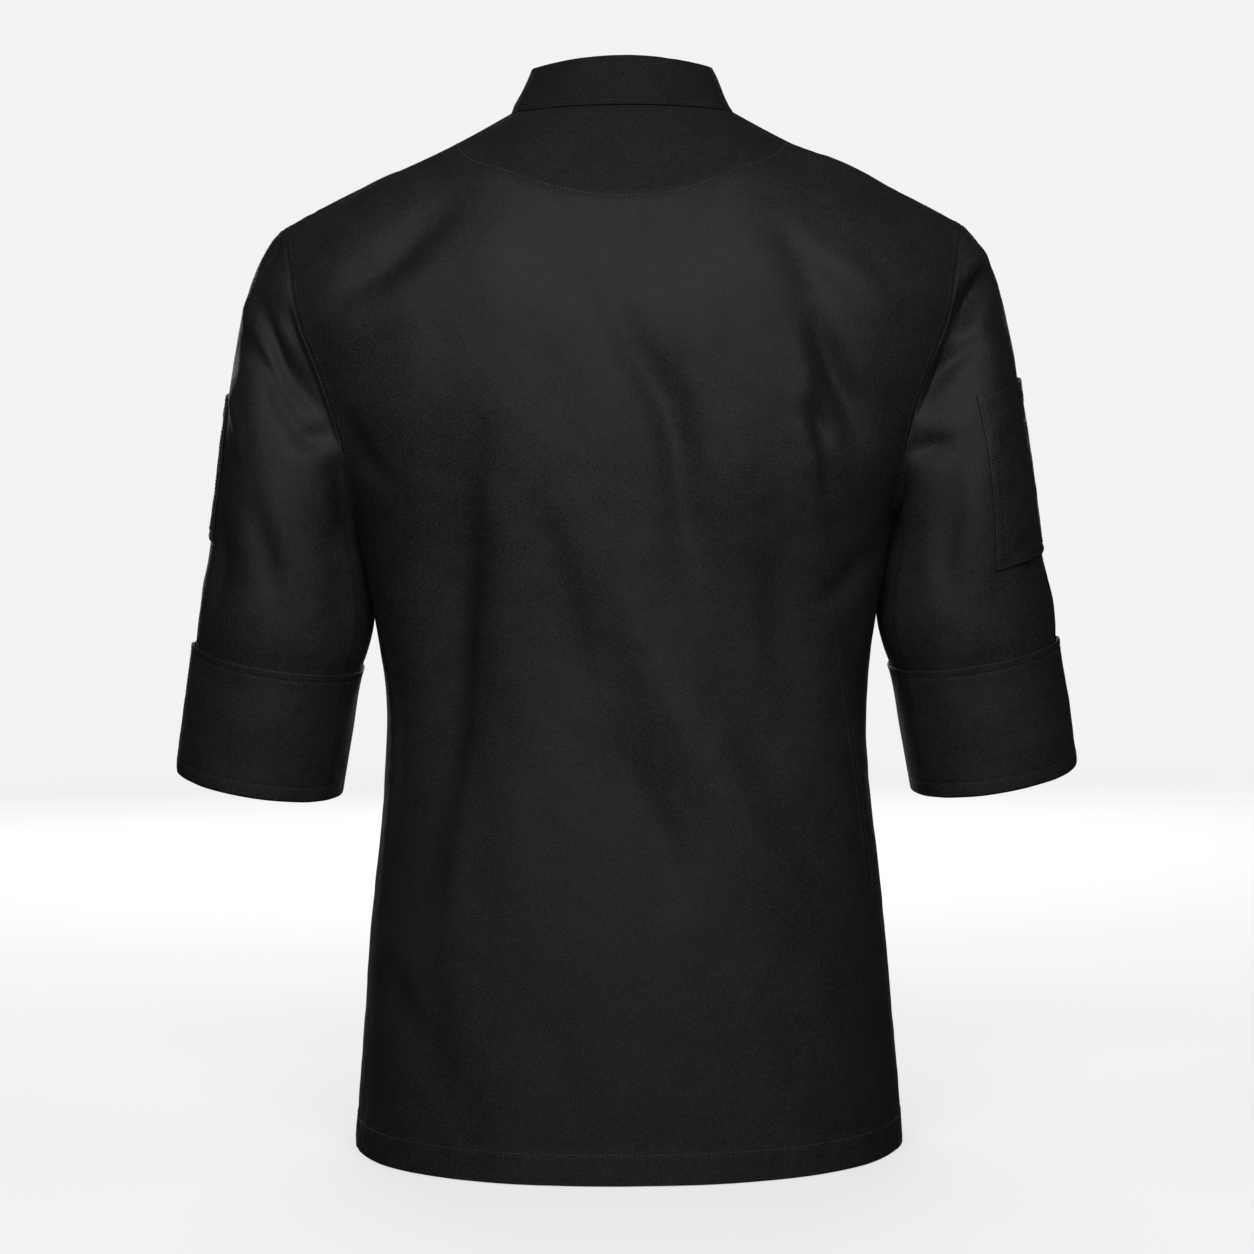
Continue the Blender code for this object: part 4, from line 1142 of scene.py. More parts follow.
# %% The sleeve's creases
SLEEVE_FOLDS = table("hand top foot width depth", (
    (1, (32, 52), (112, 122), 11, 4.0),
    (1, (28, 76), (92, 143), 11, 3.0),
    (-1, (42, 42), (82, 72), 11, 3.5),
    (-1, (52, 82), (106, 124), 11, 4.0),
    (1, (-70, 70), (-118, 125), 12, 3.5),
    (-1, (-62, 62), (-112, 118), 12, 3.5),
))
SLEEVE_CREASES = table("hand wide narrow depth path", (
    (1, 8, 8, 10.0, ((19, 48), (30, 50), (56, 72), (86, 105), (109, 127))),
    (1, 7, 7, 5.0, ((34, 40), (62, 58), (80, 82), (98, 108))),
    (1, 7, 9, 8.5, ((14, 73), (34, 80), (58, 94), (82, 120), (106, 142))),
    (1, 6, 6, -1.6, ((22, 42), (14, 54), (26, 74))),
    (1, 7, 7, 3.6, ((12, 4), (22, 16), (27, 29))),
    (1, 8, 7, 5.0, ((84, 138), (100, 132), (116, 126))),
    (1, 9, 9, 7.0, ((104, 142), (118, 153), (134, 174), (160, 206))),
    (1, 6, 7, -3.2, ((6, 107), (42, 137), (51, 160))),
    (1, 9, 10, 4.0, ((30, 190), (38, 230), (34, 280))),
    (1, 12, 12, 4.5, ((64, 176), (78, 214), (84, 262))),
    (-1, 7, 8, 13.0, ((12, 36), (28, 38), (46, 47), (64, 61), (76, 76))),
    (-1, 6, 6, -3.0, ((14, 24), (28, 26), (46, 34))),
    (-1, 7, 9, 10.5, ((46, 76), (62, 78), (76, 85), (88, 97), (104, 120))),
    (-1, 7, 7, 5.0, ((78, 74), (90, 94), (100, 110))),
    (-1, 8, 7, 7.0, ((86, 142), (102, 141), (122, 148))),
    (-1, 9, 9, 7.0, ((119, 143), (150, 180), (178, 206))),
    (-1, 6, 6, -2.8, ((15, 8), (11, 36))),
    (-1, 5, 5, -1.9, ((20, 238), (8, 300))),
    (-1, 12, 11, 4.5, ((91, 160), (108, 207), (100, 262))),
    (1, 8, 10, 4.5, ((-20, 50), (-52, 62), (-84, 104))),
    (1, 9, 8, 3.6, ((-70, 150), (-88, 200), (-92, 260))),
    (-1, 10, 8, 4.5, ((-18, 44), (-56, 66), (-90, 112))),
    (-1, 8, 9, 3.4, ((-78, 160), (-92, 214), (-90, 270))),
))


def on_arm(turn, level):
    """A place on the unrolled sleeve, in millimetres round and down."""
    return math.radians(turn) * ARM_RADIUS, level


def sleeve_creases(angle, level, hand, row):
    """Depth of the frame's folds, the smaller creases and the ripples of one sleeve."""
    around = np.radians(wrapped(angle)) * ARM_RADIUS
    large = np.zeros(np.shape(around))
    for fold in SLEEVE_FOLDS:
        if fold.hand == hand:
            top, foot = on_arm(*fold.top), on_arm(*fold.foot)
            large = large + fold_depth(around, level, fold, top, np.add(top, foot) / 2, foot, 1)
    small = np.zeros(np.shape(around))
    for line in SLEEVE_CREASES:
        if line.hand == hand:
            path = [on_arm(*place) for place in line.path]
            small = small + crease(around, level, path, line.wide, line.narrow, line.depth, axis=1)
    small = small + 0.28 * ripples(around, level * 0.7, 42.0, 51 + hand)
    small = small + 0.09 * ripples(around, level, 19.0, 55)
    small = small * ease((180 - np.abs(wrapped(angle))) / 20)
    return large * ease(row / CAP_FOLD_FADE) + small * ease(row / CAP_CREASE_FADE)


def sleeve_surface(angle, row, hand):
    """Point and normal of the left sleeve with the creases of either hand."""
    point = sleeve_point(angle, row)
    across = sleeve_point(angle + NORMAL_TURN, row) - sleeve_point(angle - NORMAL_TURN, row)
    lower, higher = (sleeve_point(angle, np.clip(row + step, 0, 2)) for step in (NORMAL_ROW, -NORMAL_ROW))
    normal = unit(np.cross(lower - higher, across))
    depth = sleeve_creases(angle, arm_level(point), hand, row)
    touch = touching(point[..., 2]) * ease((-np.cos(np.radians(angle)) - 0.65) / 0.3)
    return point - normal * (depth - touch)[..., None], normal


# %% Make the sleeves
UNDERARM_SEAM = 148.0
SLEEVE_SHORT = 2.6
ARM_CELLS = 46
RING_ANGLES = 360 * graded(360.0, 3.1, 1.0, 4.0, (UNDERARM_SEAM / 360,))
CAP_ROWS = graded(150.0, 3.6, 1.2, 8.0, (0,))
ARM_ROWS = 1 + (SLEEVE_END - SLEEVE_SHORT) / SLEEVE_END * np.linspace(0, 1, ARM_CELLS + 1)[1:]
SLEEVE_ROWS = np.concatenate([CAP_ROWS, ARM_ROWS])


def arm_piece(kind, hand, which, outer, inner, closed=True):
    """A piece of an arm from grids of the left one, turned over for the right one."""
    mirror = (hand, 1, 1)
    return shell(f"{kind}_{which}_dressed", outer * mirror, inner * mirror, CLOTH_LOOK, closed)


def ring_seam(angle):
    """Height of the lapped seam that runs down the arm's underside."""
    away = (angle - UNDERARM_SEAM) * math.pi / 180 * ARM_RADIUS
    return 0.3 * band(np.abs(away + 3.0), 3.0, 1.5) - 0.55 * groove(away, 0.0, 0.9)


def armhole_normals(hand):
    """The body's normals round one armhole, at the angles of the sleeve's ring."""
    rows = slice(UNDERARM_ROW, None)
    behind = back_normals[rows, -1] if hand > 0 else back_normals[rows, 0] * MIRROR
    before = (left_normals if hand > 0 else right_normals)[rows, -1]
    normals = np.concatenate([behind, before[:-1]])
    turns = 180 * (1 - UPPER)
    turns = np.concatenate([turns, -turns[:-1]])
    order = np.argsort(turns)
    columns = [np.interp(wrapped(RING_ANGLES), turns[order], column[order]) for column in normals.T]
    return unit(np.stack(columns, -1))


def sleeve_grids(hand):
    """Outer and inner grids of a sleeve."""
    angle, row = np.meshgrid(RING_ANGLES, SLEEVE_ROWS)
    base, normals = sleeve_surface(angle, row, hand)
    near_top = ease((SEAM_NORMAL_REACH - np.abs(wrapped(RING_ANGLES))) / SEAM_NORMAL_FADE)[:, None]
    normals[0] = unit(near_top * armhole_normals(hand) + (1 - near_top) * normals[0])
    down = lengths(base, 0)
    relief = seam_relief(down, lengths(base, 1), 61 + hand) + ring_seam(angle) * ease(down / 12)
    relief = relief * ease(down / 0.8) * ease((CUFF_ROW - 0.02 - row) / 0.03)
    return base + normals * relief[..., None], base - normals * CLOTH


for arm in ARMS:
    arm_piece("sleeve", *arm, *sleeve_grids(arm[0]))

# %% [markdown]
# ## Cuffs
# The end of each sleeve is turned back on the outside. So the cuff is a doubled band with a
# stitched free edge at its top, and its foot is a fold that wraps round the sleeve's end. We
# sweep one narrow outline round the arm: down the outside, round the fold, and up between.

# %% Make the cuffs
CUFF_CLOTH = 2.0
CUFF_FOOT = 2.2
FOLD_STEPS = 6
CUFF_LENGTH = SLEEVE_END - CUFF_TOP_ALONG
CUFF_STITCHES = (6.0, CUFF_LENGTH - 11.0)


def cuff_outline():
    """Rows and offsets of the cuff's outer side, then of its inner side, from top to foot."""
    along = graded(CUFF_LENGTH, 3.4, 1.1, 7.0, (0, 0.12, 1)) * (CUFF_LENGTH - CUFF_FOOT)
    wide = SEAM_GAP + CUFF_CLOTH
    half = CUFF_CLOTH / 2
    top_turn = np.radians(np.linspace(80, 0, 4))
    outer, inner = (
        [(half * (1 - math.sin(turn)), wide - half + way * half * math.cos(turn)) for turn in top_turn]
        + [(place, offset) for place in along if place > half]
        for way, offset in ((1, wide), (-1, SEAM_GAP))
    )
    inner[-1] = (CUFF_LENGTH - SLEEVE_SHORT + 0.3, SEAM_GAP)
    deep = wide + CLOTH
    foot = CUFF_LENGTH - CUFF_FOOT
    for step in range(1, FOLD_STEPS + 1):
        turn = math.radians(90 * step / FOLD_STEPS)
        outer.append((foot + CUFF_FOOT * math.sin(turn), wide - deep * (1 - math.cos(turn))))
        inner.append((CUFF_LENGTH - SLEEVE_SHORT + 0.4, SEAM_GAP - (SEAM_GAP + CLOTH) * step / FOLD_STEPS))
    return np.array(outer), np.array(inner)


CUFF_OUTER, CUFF_INNER = cuff_outline()


def cuff_grids(hand):
    """Outer and inner grids and normals of a cuff."""
    grids = []
    for outline in (CUFF_OUTER, CUFF_INNER):
        down = outline[:, :1]
        angle, row = np.meshgrid(RING_ANGLES, CUFF_ROW + outline[:, 0] / SLEEVE_END)
        base, normals = sleeve_surface(angle, np.clip(row, 0, 2), hand)
        from_seam = 180 - np.abs(wrapped(angle))
        gape = 0.5 * (1 + ripples(np.radians(angle) * ARM_RADIUS, 0 * angle, 70.0, 71 + hand))
        gape = np.clip(gape, 0, 1.3) * ease(1 - down / 30) * ease(from_seam / 25)
        offset = outline[:, 1:] + gape * (1 if outline is CUFF_OUTER else 0.8)
        if outline is CUFF_OUTER:
            pucker = ripples(lengths(base, 1), down * 0.25, 10.0, 75 + hand) * 0.2 * ease(from_seam / 12)
            dents = sum(0.4 * groove(down, place, 1.0) for place in CUFF_STITCHES)
            close = sum(groove(down, place, 8) for place in CUFF_STITCHES)
            relief = ring_seam(angle) - dents + pucker * close
            offset = offset + relief * ease(down / 2) * ease((CUFF_LENGTH - down) / 3)
        grids.append(base + normals * offset[..., None])
    return *grids, normals


cuff_lines = []
for hand, which in ARMS:
    outer, inner, normals = cuff_grids(hand)
    arm_piece("cuff", hand, which, outer, inner)
    for place in CUFF_STITCHES:
        row = int(np.argmin(np.abs(CUFF_OUTER[:, 0] - place)))
        cuff_lines.append((outer[row] + normals[row] * 0.2) * (hand, 1, 1))

# %% [markdown]
# ## The stand collar
# The collar is a stiff doubled band. It stands on the neckline, leans in towards the neck and
# ends in two rounded corners that meet at the centre front. Its top edge is a fold, so it is
# round and not cut square. A row of stitches just above the seam holds the layers together.

# %% Make the collar
COLLAR_CLOTH = 2.4
TOP_HALF_WIDTH = 62.5
TOP_BACK = 47.0
TOP_FRONT = 81.0
TOP_SHIFT = -5.0
RISE_BACK = 35.0
RISE_SIDE = 31.5
RISE_FRONT = 34.0
FOOT_GAP = 0.8
END_GAP = 1.5
CORNER = 13.0
COLLAR_STITCH = 3.2
COLLAR_DROPS = (4.5, 3.0, 1.5)


def neckline():
    """The neckline from the right of the centre front, round the back, to the left."""
    front = half_front[-1, : NECK_COLUMN + 1].copy()
    front[0, 0] = END_GAP
    behind = half_back[-1, :NECK_COLUMN]
    line = np.concatenate([front * MIRROR, behind[:0:-1] * MIRROR, behind, front[::-1]])
    places = lengths(line, 0)
    wanted = graded(places[-1], 2.6, 0.9, CORNER + 2, (0, 1)) * places[-1]
    return np.stack([np.interp(wanted, places, column) for column in line.T], axis=-1)


def collar_grids():
    """Outer and inner grids of the collar, its normals and the distance up from its foot."""
    foot = neckline()
    is_back = foot[:, 1] > 0
    depth = np.where(is_back, NECK_BACK_DEPTH, NECK_FRONT_DEPTH)
    turn = np.arctan2(foot[:, 0] / NECK_HALF_WIDTH, foot[:, 1] / depth)
    behind, before = (np.clip(way * np.cos(turn), 0, 1) ** 2 for way in (1, -1))
    top_y = np.where(is_back, TOP_BACK, TOP_FRONT) * np.cos(turn) + TOP_SHIFT * np.sin(turn) ** 2
    rise = RISE_SIDE + (RISE_BACK - RISE_SIDE) * behind + (RISE_FRONT - RISE_SIDE) * before
    top = np.stack([TOP_HALF_WIDTH * np.sin(turn), top_y, foot[:, 2] + rise], axis=-1)
    height = np.linalg.norm(top - foot, axis=1)
    from_end = np.minimum(*(np.linalg.norm(foot - end, axis=1) for end in (foot[0], foot[-1])))
    corner = CORNER - np.clip(from_end, 0, CORNER)
    highest = 1 - (CORNER - np.sqrt(CORNER**2 - corner**2)) / height
    lowest = FOOT_GAP / height
    share = lowest + (highest - lowest) * graded(35.0, 1.9, 0.8, 4.0, (0, 1))[:, None]
    base = foot + (top - foot) * share[..., None]
    normals = grid_normals(base, (0, -10, 0))
    up, along = lengths(base, 0), lengths(base, 1)
    half = COLLAR_CLOTH / 2
    round_edge = half * (1 - np.sqrt(1 - np.clip(1 - (up[-1:] - up) / half, 0, 1) ** 2)) * 0.85
    wave = 0.3 * ripples(along, up, 55.0, 81) + 0.1 * ripples(along, up, 14.0, 82)
    pucker = 0.16 * ripples(along, up * 0.3, 8.0, 83) * groove(up, COLLAR_STITCH, 6) * ease(up / 2)
    moved = base + normals * (wave * ease(up / 6) * ease(from_end / 12))[..., None]
    raised = pucker - 0.35 * groove(up, COLLAR_STITCH, 0.8) * ease(up) - round_edge
    inner = moved - normals * (COLLAR_CLOTH - round_edge)[..., None]
    return moved + normals * raised[..., None], inner, normals, up


collar_outer, collar_inner, collar_normals, collar_up = collar_grids()
shell("collar_dressed", collar_outer, collar_inner, COLLAR_LOOK)
down_step = unit(collar_inner[0] - collar_inner[1])
hanging = [collar_inner[0] + down_step * drop for drop in COLLAR_DROPS]
points = np.concatenate([hanging, collar_inner[:ALLOWANCE]])
normals = collar_normals[[0] * len(COLLAR_DROPS) + list(range(ALLOWANCE))]
allowances.append(allowance("collar_allowance", points, normals))

# %% [markdown]
# ## Sleeve pockets
# A patch pocket is cut with the sleeve's own curve, pressed under at its edges and sewn on. Its
# mouth has a deep hem. We take the sleeve's creased surface under it and move it out a little.

# %% Make the pockets
POCKETS = table("hand which top bottom back_top back_bottom front_top front_bottom", (
    (-1, "right", 112.0, 234.0, 70.0, 71.0, -27.0, -26.0),
    (1, "left", 120.0, 221.0, 12.0, 22.0, -62.0, -52.0),
))
POCKET_GAP = 0.65
POCKET_CLOTH = 1.3
POCKET_HEM = 14.0
POCKET_STITCHES = (2.2, 7.6)


def pocket_grids(size, hand):
    """Outer and inner grids of a pocket, its normals and its distances from its edges."""
    down = graded(size.bottom - size.top, 2.6, 0.9, 9.0, (0, 1))[:, None]
    across = graded(110.0, 2.6, 0.9, 9.0, (0, 1))[None, :]
    behind = size.back_top + (size.back_bottom - size.back_top) * down
    before = size.front_top + (size.front_bottom - size.front_top) * down
    angle = behind + (before - behind) * across
    level = size.top + (size.bottom - size.top) * down + 0 * across
    base, normals = sleeve_surface(angle, sleeve_row_at(angle, level), hand)
    first, last, top, bottom = edge_distances(base)
    sides = np.minimum(np.minimum(first, last), bottom)
    edge = np.minimum(sides, top)
    full = 0.5 * np.sin(np.pi * down) * np.sin(np.pi * across)
    dents = sum(0.18 * groove(sides, place, 0.6) for place in POCKET_STITCHES)
    dents = dents + 0.35 * groove(top, POCKET_HEM, 0.9) - 0.3 * band(top, POCKET_HEM + 0.6, 1.4)
    pucker = 0.16 * ripples(first, top, 16.0, 91 + hand) * ease(edge / 2)
    gape = 0.7 * np.exp(-top / 8) * np.sin(np.pi * across)
    height = POCKET_GAP + gape + POCKET_CLOTH + full - 0.5 * (1 - ease(edge / 0.9)) - dents + pucker
    inner = POCKET_GAP + gape * 0.9 + full * 0.5
    return base + normals * height[..., None], base + normals * inner[..., None], normals, sides, top


pocket_lines = []
for size in POCKETS:
    outer, inner, normals, sides, top = pocket_grids(size, size.hand)
    arm_piece("sleeve_pocket", size.hand, size.which, outer, inner, closed=False)
    middle_row, middle_column = np.array(sides.shape) // 2
    for distance in POCKET_STITCHES:
        for part, axis in (
            ((slice(None), slice(middle_column)), 1),
            ((slice(None), slice(None, middle_column, -1)), 1),
            ((slice(None, middle_row, -1),), 0),
        ):
            line = at_distance(outer[part], normals[part], sides[part], distance, axis)
            pocket_lines.append(line * (size.hand, 1, 1))
    pocket_lines.append(at_distance(outer, normals, top, POCKET_HEM, 0) * (size.hand, 1, 1))

# %% [markdown]
# ## Buttons
# The buttons are moulded discs with a raised rim, a dished middle and four holes, sewn on with
# a cross of thread. One half of an outline, turned round an axis, gives the disc. The holes are
# cut with a Boolean. Each button sits just off the cloth and is turned to face along it.

# %% Make the buttons
BUTTON_ACROSS = 70.0
BUTTON_FIRST_Z = -126.0
BUTTON_PITCH = 108.0
BUTTONS_A_COLUMN = 5
BUTTON_HEIGHTS = [BUTTON_FIRST_Z - BUTTON_PITCH * number for number in range(BUTTONS_A_COLUMN)]
BUTTON_RADIUS = 10.0
BUTTON_SEAT = 0.7
BUTTON_SIDES = 48
BUTTON_OUTLINE = (
    (8.4, 0.0), (9.5, 0.5), (10.0, 1.4), (9.9, 2.3), (9.4, 3.0), (8.7, 3.3), (7.9, 3.3), (7.2, 2.9),
    (6.4, 2.4), (4.0, 2.15), (1.5, 2.1),
)
HOLE_RADIUS = 0.95
HOLE_OFFSET = 1.75


def tube_faces(index):
    """Faces of a tube with closed ends from its point numbers, a row of them for each ring."""
    following = np.roll(index, -1, axis=1)
    quads = np.stack([index[:-1], following[:-1], following[1:], index[1:]], axis=-1).reshape(-1, 4)
    return quads.tolist() + [index[0, ::-1].tolist(), index[-1].tolist()]


def turned_disc(name, outline, sides, look):
    """Closed disc from half of its outline, given as pairs of radius and height from below up."""
    turns = np.radians(np.arange(sides) * 360 / sides)
    points = [(r * math.cos(turn), r * math.sin(turn), z) for r, z in outline for turn in turns]
    return finish_mesh(name, points, tube_faces(np.arange(len(points)).reshape(-1, sides)), None, look)


def button_blank():
    """One button at the origin, with its holes cut."""
    disc = turned_disc("button_blank", BUTTON_OUTLINE, BUTTON_SIDES, BUTTON_LOOK)
    cutters = []
    for angle in np.radians((45, 135, 225, 315)):
        cutter = turned_disc("hole", ((HOLE_RADIUS, -1.0), (HOLE_RADIUS, 5.0)), 16, BUTTON_LOOK)
        reach = HOLE_OFFSET * math.sqrt(2) * MM
        cutter.data.transform(Matrix.Translation((reach * math.cos(angle), reach * math.sin(angle), 0)))
        modifier = disc.modifiers.new("hole", "BOOLEAN")
        modifier.object = cutter
        modifier.solver = "EXACT"
        cutters.append(cutter)
    mesh = applied(disc, "button")
    mesh.set_sharp_from_angle(angle=math.radians(40))
    for cutter in cutters:
        bpy.data.objects.remove(cutter)
    return mesh


AWAY = 400.0
left_tree = tree_of(left_panel.outer)


def on_front(xs, zs, lift):
    """Points on the left front, straight in from places seen from the front."""
    return project(left_tree, [(x, -AWAY, z) for x, z in zip(xs, zs)], (0, 1, 0), lift)


blank = button_blank()
buttons = {}
cross_lines = []
for side, across, first_spin in (("left", BUTTON_ACROSS, 11), ("right", -BUTTON_ACROSS, 50)):
    for number, height in enumerate(BUTTON_HEIGHTS):
        turns = np.radians(np.arange(0, 360, 20))
        xs, zs = across + BUTTON_RADIUS * np.cos(turns), height + BUTTON_RADIUS * np.sin(turns)
        ring = on_front(xs, zs, 0)
        middle = ring.mean(axis=0)
        normal = np.linalg.svd(ring - middle)[2][2]
        normal = normal if normal[1] < 0 else -normal
        seat = middle + normal * (np.max((ring - middle) @ normal) + BUTTON_SEAT)
        sideways = unit(np.cross((0, 0, 1), normal))
        spin = math.radians(37 * number + first_spin)
        first = sideways * math.cos(spin) + np.cross(normal, sideways) * math.sin(spin)
        second = np.cross(normal, first)
        name = f"button_{side}_{number + 1}"
        buttons[name] = link(name + "_dressed", blank.copy())
        buttons[name].data.transform(standing(Vector(seat * MM), first, second, normal))
        top = seat + normal * 2.9
        for slant in (1, -1):
            corner = HOLE_OFFSET * (first + slant * second)
            start, end = seat + normal * 1.9 - corner, seat + normal * 1.9 + corner
            rise, fall = ((place + top) / 2 + normal * 0.3 for place in (start, end))
            cross_lines.append([start, rise, top, fall, end])
bpy.data.meshes.remove(blank)
print("buttons:", len(buttons), "faces each:", len(buttons["button_left_1"].data.polygons))

# %% [markdown]
# ## Sewing
# Every seam line that shows is a row of stitches. Their places come from the same distances
# that shaped the cloth, so each row lies in its own dent. A shallow arc on the back is where
# the neck's facing is sewn through from inside.

# %% Stitch the jacket
YOKE_ARC = (
    (116, -21), (107, -31), (82, -40), (56, -49), (37, -54), (19, -57), (-2, -58), (-20, -57),
    (-41, -54), (-65, -46), (-82, -39), (-94, -36), (-106, -30), (-115, -23),
)
ARC_STEPS = 120
back_tree = tree_of(back_panel.outer)


def on_back(path, lift=0.25):
    """Points on the back of the jacket, straight in from places seen from behind."""
    return project(back_tree, [(x, AWAY, z) for x, z in path], (0, -1, 0), lift)


def armhole_line(panel, field, turned=-1):
    """Line beside the armhole at a panel's last column or, unturned, at its first."""
    grids = (grid[UNDERARM_ROW:, ::turned] for grid in (panel.outer, panel.normals, field))
    return at_distance(*grids, ARMHOLE_STITCH, 1)


seam_lines = [armhole_line(back_panel, back_panel.first, 1)]
edge_lines = []
pale_lines = []
for panel, mirror in ((back_panel, 1), (left_panel, 1), (right_panel, MIRROR)):
    seam_lines.append(armhole_line(panel, panel.last) * mirror)
    pale_lines.append(at_distance(panel.outer, panel.normals, panel.hem, HEM_DEPTH, 0) * mirror)
    if panel is not back_panel:
        edge_lines.append(at_distance(panel.outer, panel.normals, panel.first, EDGE_STITCH, 1) * mirror)
seam_lines += edge_lines
seam_lines.append(at_distance(collar_outer, collar_normals, collar_up, COLLAR_STITCH, 0))
pale_lines.append(on_back(smooth_path(YOKE_ARC, np.linspace(0, 1, ARC_STEPS))))

seam_stitches = stitch_rows("seam_stitches", seam_lines, THREAD_LOOK)
pale_stitches = stitch_rows("hem_and_neck_stitches", pale_lines, PALE_THREAD_LOOK)
sleeve_stitches = stitch_rows("sleeve_stitches", cuff_lines + pocket_lines, THREAD_LOOK)
button_thread = stitch_rows("button_thread", cross_lines, THREAD_LOOK, pitch=0.5, length=1.1, thickness=0.7)

# %% [markdown]
# ## A felled seam down the back
# One long seam runs down the right of the back. It is felled: one layer is folded over the
# other, so there is a low step that catches the light. We lay a thin strip on the cloth along
# the seam, high on its inner edge and thinned to nothing on its outer one.

# %% Make the felled seam
FELLED_PATH = (
    (-128, -225), (-130, -250), (-133, -272), (-138, -309), (-147, -378), (-154, -427), (-160, -469),
    (-165, -512), (-169, -545),
)
FELLED_PARTS = np.linspace(0, 1, 220)
FELLED_OUTLINE = ((0.0, -0.5), (0.05, 0.35), (0.4, 0.7), (1.2, 0.75), (3.0, 0.5), (4.0, 0.1), (4.4, -0.5))
FELLED_STITCH = 3.0


def felled_strip():
    """A thin strip along the seam, as a closed mesh."""
    line = smooth_path(FELLED_PATH, FELLED_PARTS)
    heading = unit(np.gradient(line, axis=0))
    outwards = np.stack([heading[:, 1], -heading[:, 0]], axis=1)
    outwards *= np.sign(-outwards[:, :1])
    fade = ease(12 * FELLED_PARTS) * ease(9 * FELLED_PARTS[::-1])
    rings = []
    for across, height in FELLED_OUTLINE:
        on_cloth, just_off = (on_back(line + outwards * across, lift) for lift in (0, height))
        rings.append(on_cloth + (just_off - on_cloth) * fade[:, None])
    rings = np.array(rings)
    index, _ = grid_quads(rings)
    around = np.repeat(np.arange(len(rings)) * 1.4, len(line))
    weave = np.stack([around, np.tile(lengths(rings, 1)[0], len(rings))], axis=-1)
    made = finish_mesh("felled_seam", rings.reshape(-1, 3), tube_faces(index.T), weave, CLOTH_LOOK)
    rework(made, lambda work: bmesh.ops.recalc_face_normals(work, faces=work.faces))
    return made


felled_seam = felled_strip()
felled_path = smooth_path([(x - FELLED_STITCH, z) for x, z in FELLED_PATH], FELLED_PARTS)[8:]
felled_stitches = stitch_rows("felled_stitches", [on_back(felled_path, 0.75)], THREAD_LOOK)

# %% [markdown]
# ## Buttonholes
# The right-hand column of buttons goes through holes in the left front. Each hole is a slit
# with its edges bound in close stitches. We lay one short stitch after another round the slit.

# %% Make the buttonholes
HOLE_LENGTH = 24.0
HOLE_HALF_HEIGHT = 1.3
HOLE_SHIFT = 3.0
turns = np.radians(np.linspace(0, 360, 73))
straight = (HOLE_LENGTH / 2 - HOLE_HALF_HEIGHT) * np.sign(np.round(np.cos(turns), 6))
hole_x = -BUTTON_ACROSS + HOLE_SHIFT + straight + HOLE_HALF_HEIGHT * np.cos(turns)
hole_lines = []
for height in BUTTON_HEIGHTS:
    hole_lines.append(on_front(hole_x, height + HOLE_HALF_HEIGHT * np.sin(turns), 0.2))
buttonholes = stitch_rows("buttonholes", hole_lines, THREAD_LOOK, pitch=0.8, length=1.3, thickness=1.0)

# %% [markdown]
# ## Studio
# The jacket stands over a wide pale floor that fades into a pale distance, so no line shows
# behind it from any side. Black cloth shows whatever is bright around it as a glare along its
# edges. So the distance is pale only where it is looked at, and nearly all the light on the
# cloth comes from a few large soft lamps. The floor darkens a little under the hem.

# %% Build the studio
FLOOR_OUTLINE = [(40000, -1)] + [(radius, 0) for radius in (40000, 12000, 5000, 2000, 1000, 500)]
FLOOR_SIDES = 64
FLOOR_DROP = 0.6
PALE = 0.892
FLOOR_NEAR_GLOW = 0.63
FLOOR_PAINT = 0.4
FLOOR_FADE = (0.3, 2.2)
AIR_LIGHT = 0.06


def floor_paint():
    """Pale floor: its own even glow plus what the lamps add, and dull to the cloth's reflections."""
    net = Net(bpy.data.materials.new("pale_floor"))
    away = net.add("ShaderNodeVectorMath", {"operation": "LENGTH"}, {0: net.place()}, "Value")
    far = away.ramp(FLOOR_FADE[0], FLOOR_FADE[1] - FLOOR_FADE[0])
    glow = net.mix(far, grey(FLOOR_NEAR_GLOW), grey(PALE))
    tint = net.mix(far, grey(FLOOR_PAINT), grey(0.0))
    net.finish(base_color=tint, roughness=1.0, specular_ior_level=0.0)
    net.finish(emission_color=glow, emission_strength=1.0)
    seen = net.add("ShaderNodeLightPath", output="Is Camera Ray")
    dull = net.add("ShaderNodeBsdfDiffuse", None, {"Color": (*grey(AIR_LIGHT), 1.0)})
    pick = net.add("ShaderNodeMixShader", None, {0: seen, 1: dull, 2: Signal(net, net.shader.outputs[0])})
    net.put(net.nodes["Material Output"].inputs["Surface"], pick)
    return net.owner


def soft_light(name, place, target, size, power):
    """A soft lamp of a given width and height that faces a target."""
    light = link(name, bpy.data.lights.new(name, "AREA"))
    light.data.shape = "RECTANGLE"
    light.data.size, light.data.size_y = size
    light.data.energy = power
    light.location = place
    light.rotation_euler = (Vector(target) - Vector(place)).to_track_quat("-Z", "Y").to_euler()
    return light


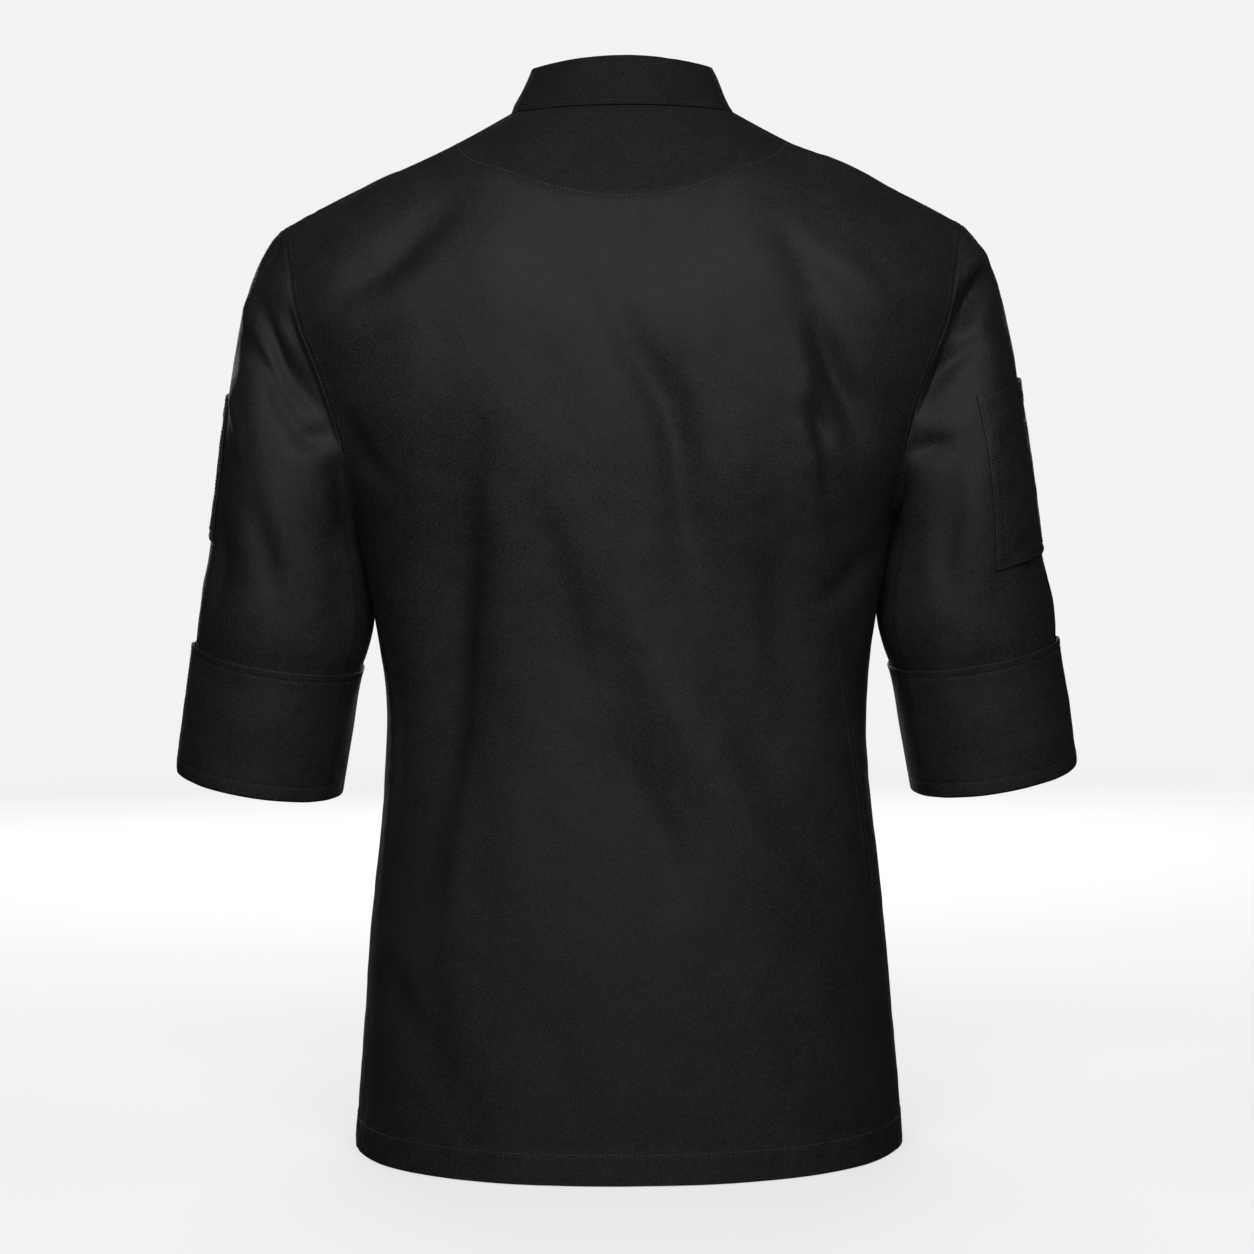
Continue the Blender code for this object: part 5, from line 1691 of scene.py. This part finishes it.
floor = turned_disc("floor", FLOOR_OUTLINE, FLOOR_SIDES, floor_paint())
floor.location.z = (HEM_Z - FLOOR_DROP) * MM
stage_pieces = [
    floor,
    soft_light("back_lamp", (-0.02, 1.7, 0.56), (0.0, 0.0, -0.28), (2.1, 0.45), 28.0),
    soft_light("front_lamp", (0.1, -1.8, -0.12), (0.0, 0.0, -0.36), (1.9, 0.5), 31.0),
    soft_light("top_lamp", (0.0, 0.0, 2.2), (0.0, 0.0, -0.7), (1.4, 1.4), 3.0),
]
air = Net(bpy.data.worlds.new("studio_air"), "Background")
seen = air.add("ShaderNodeLightPath", output="Is Camera Ray")
bpy.context.scene.world = air.finish(color=air.mix(seen, grey(AIR_LIGHT), grey(PALE)))
bpy.context.scene.view_settings.view_transform = "Standard"
print("lamps:", [piece.name for piece in stage_pieces[1:]])

# %% [markdown]
# ## Put the pieces in place of the plain ones
# Each finished piece hangs from the root body, and the plain piece it stands for is hidden.
# A table lists each sheet of cloth with its slot, cut width, length and area, and the piece that lies under
# it.

SHEETS = table("node slot width length area under", (
    ("back", "cloth", 0.52, 0.76, 0.345, None),
    ("front_left", "cloth", 0.37, 0.76, 0.245, "front_right"),
    ("front_right", "cloth", 0.37, 0.76, 0.245, None),
    ("sleeve_left", "cloth", 0.46, 0.43, 0.14, None),
    ("sleeve_right", "cloth", 0.46, 0.43, 0.14, None),
    ("cuff_left", "cloth", 0.40, 0.10, 0.04, "sleeve_left"),
    ("cuff_right", "cloth", 0.40, 0.10, 0.04, "sleeve_right"),
    ("collar", "collar_cloth", 0.45, 0.04, 0.016, None),
    ("sleeve_pocket_right", "cloth", 0.115, 0.125, 0.014, "sleeve_right"),
    ("sleeve_pocket_left", "cloth", 0.09, 0.105, 0.009, "sleeve_left"),
))
for entry in SHEETS:
    piece = bpy.data.objects[entry.node + "_dressed"]
    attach(piece, "root")
    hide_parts(entry.node)
    [entry.under + "_dressed"] if entry.under else []
for node, piece in buttons.items():
    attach(piece, "root")
    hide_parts(node)
stitched = (seam_stitches, pale_stitches, sleeve_stitches, felled_stitches)
for piece in (*allowances, *stitched, felled_seam, button_thread, buttonholes):
    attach(piece, "root")
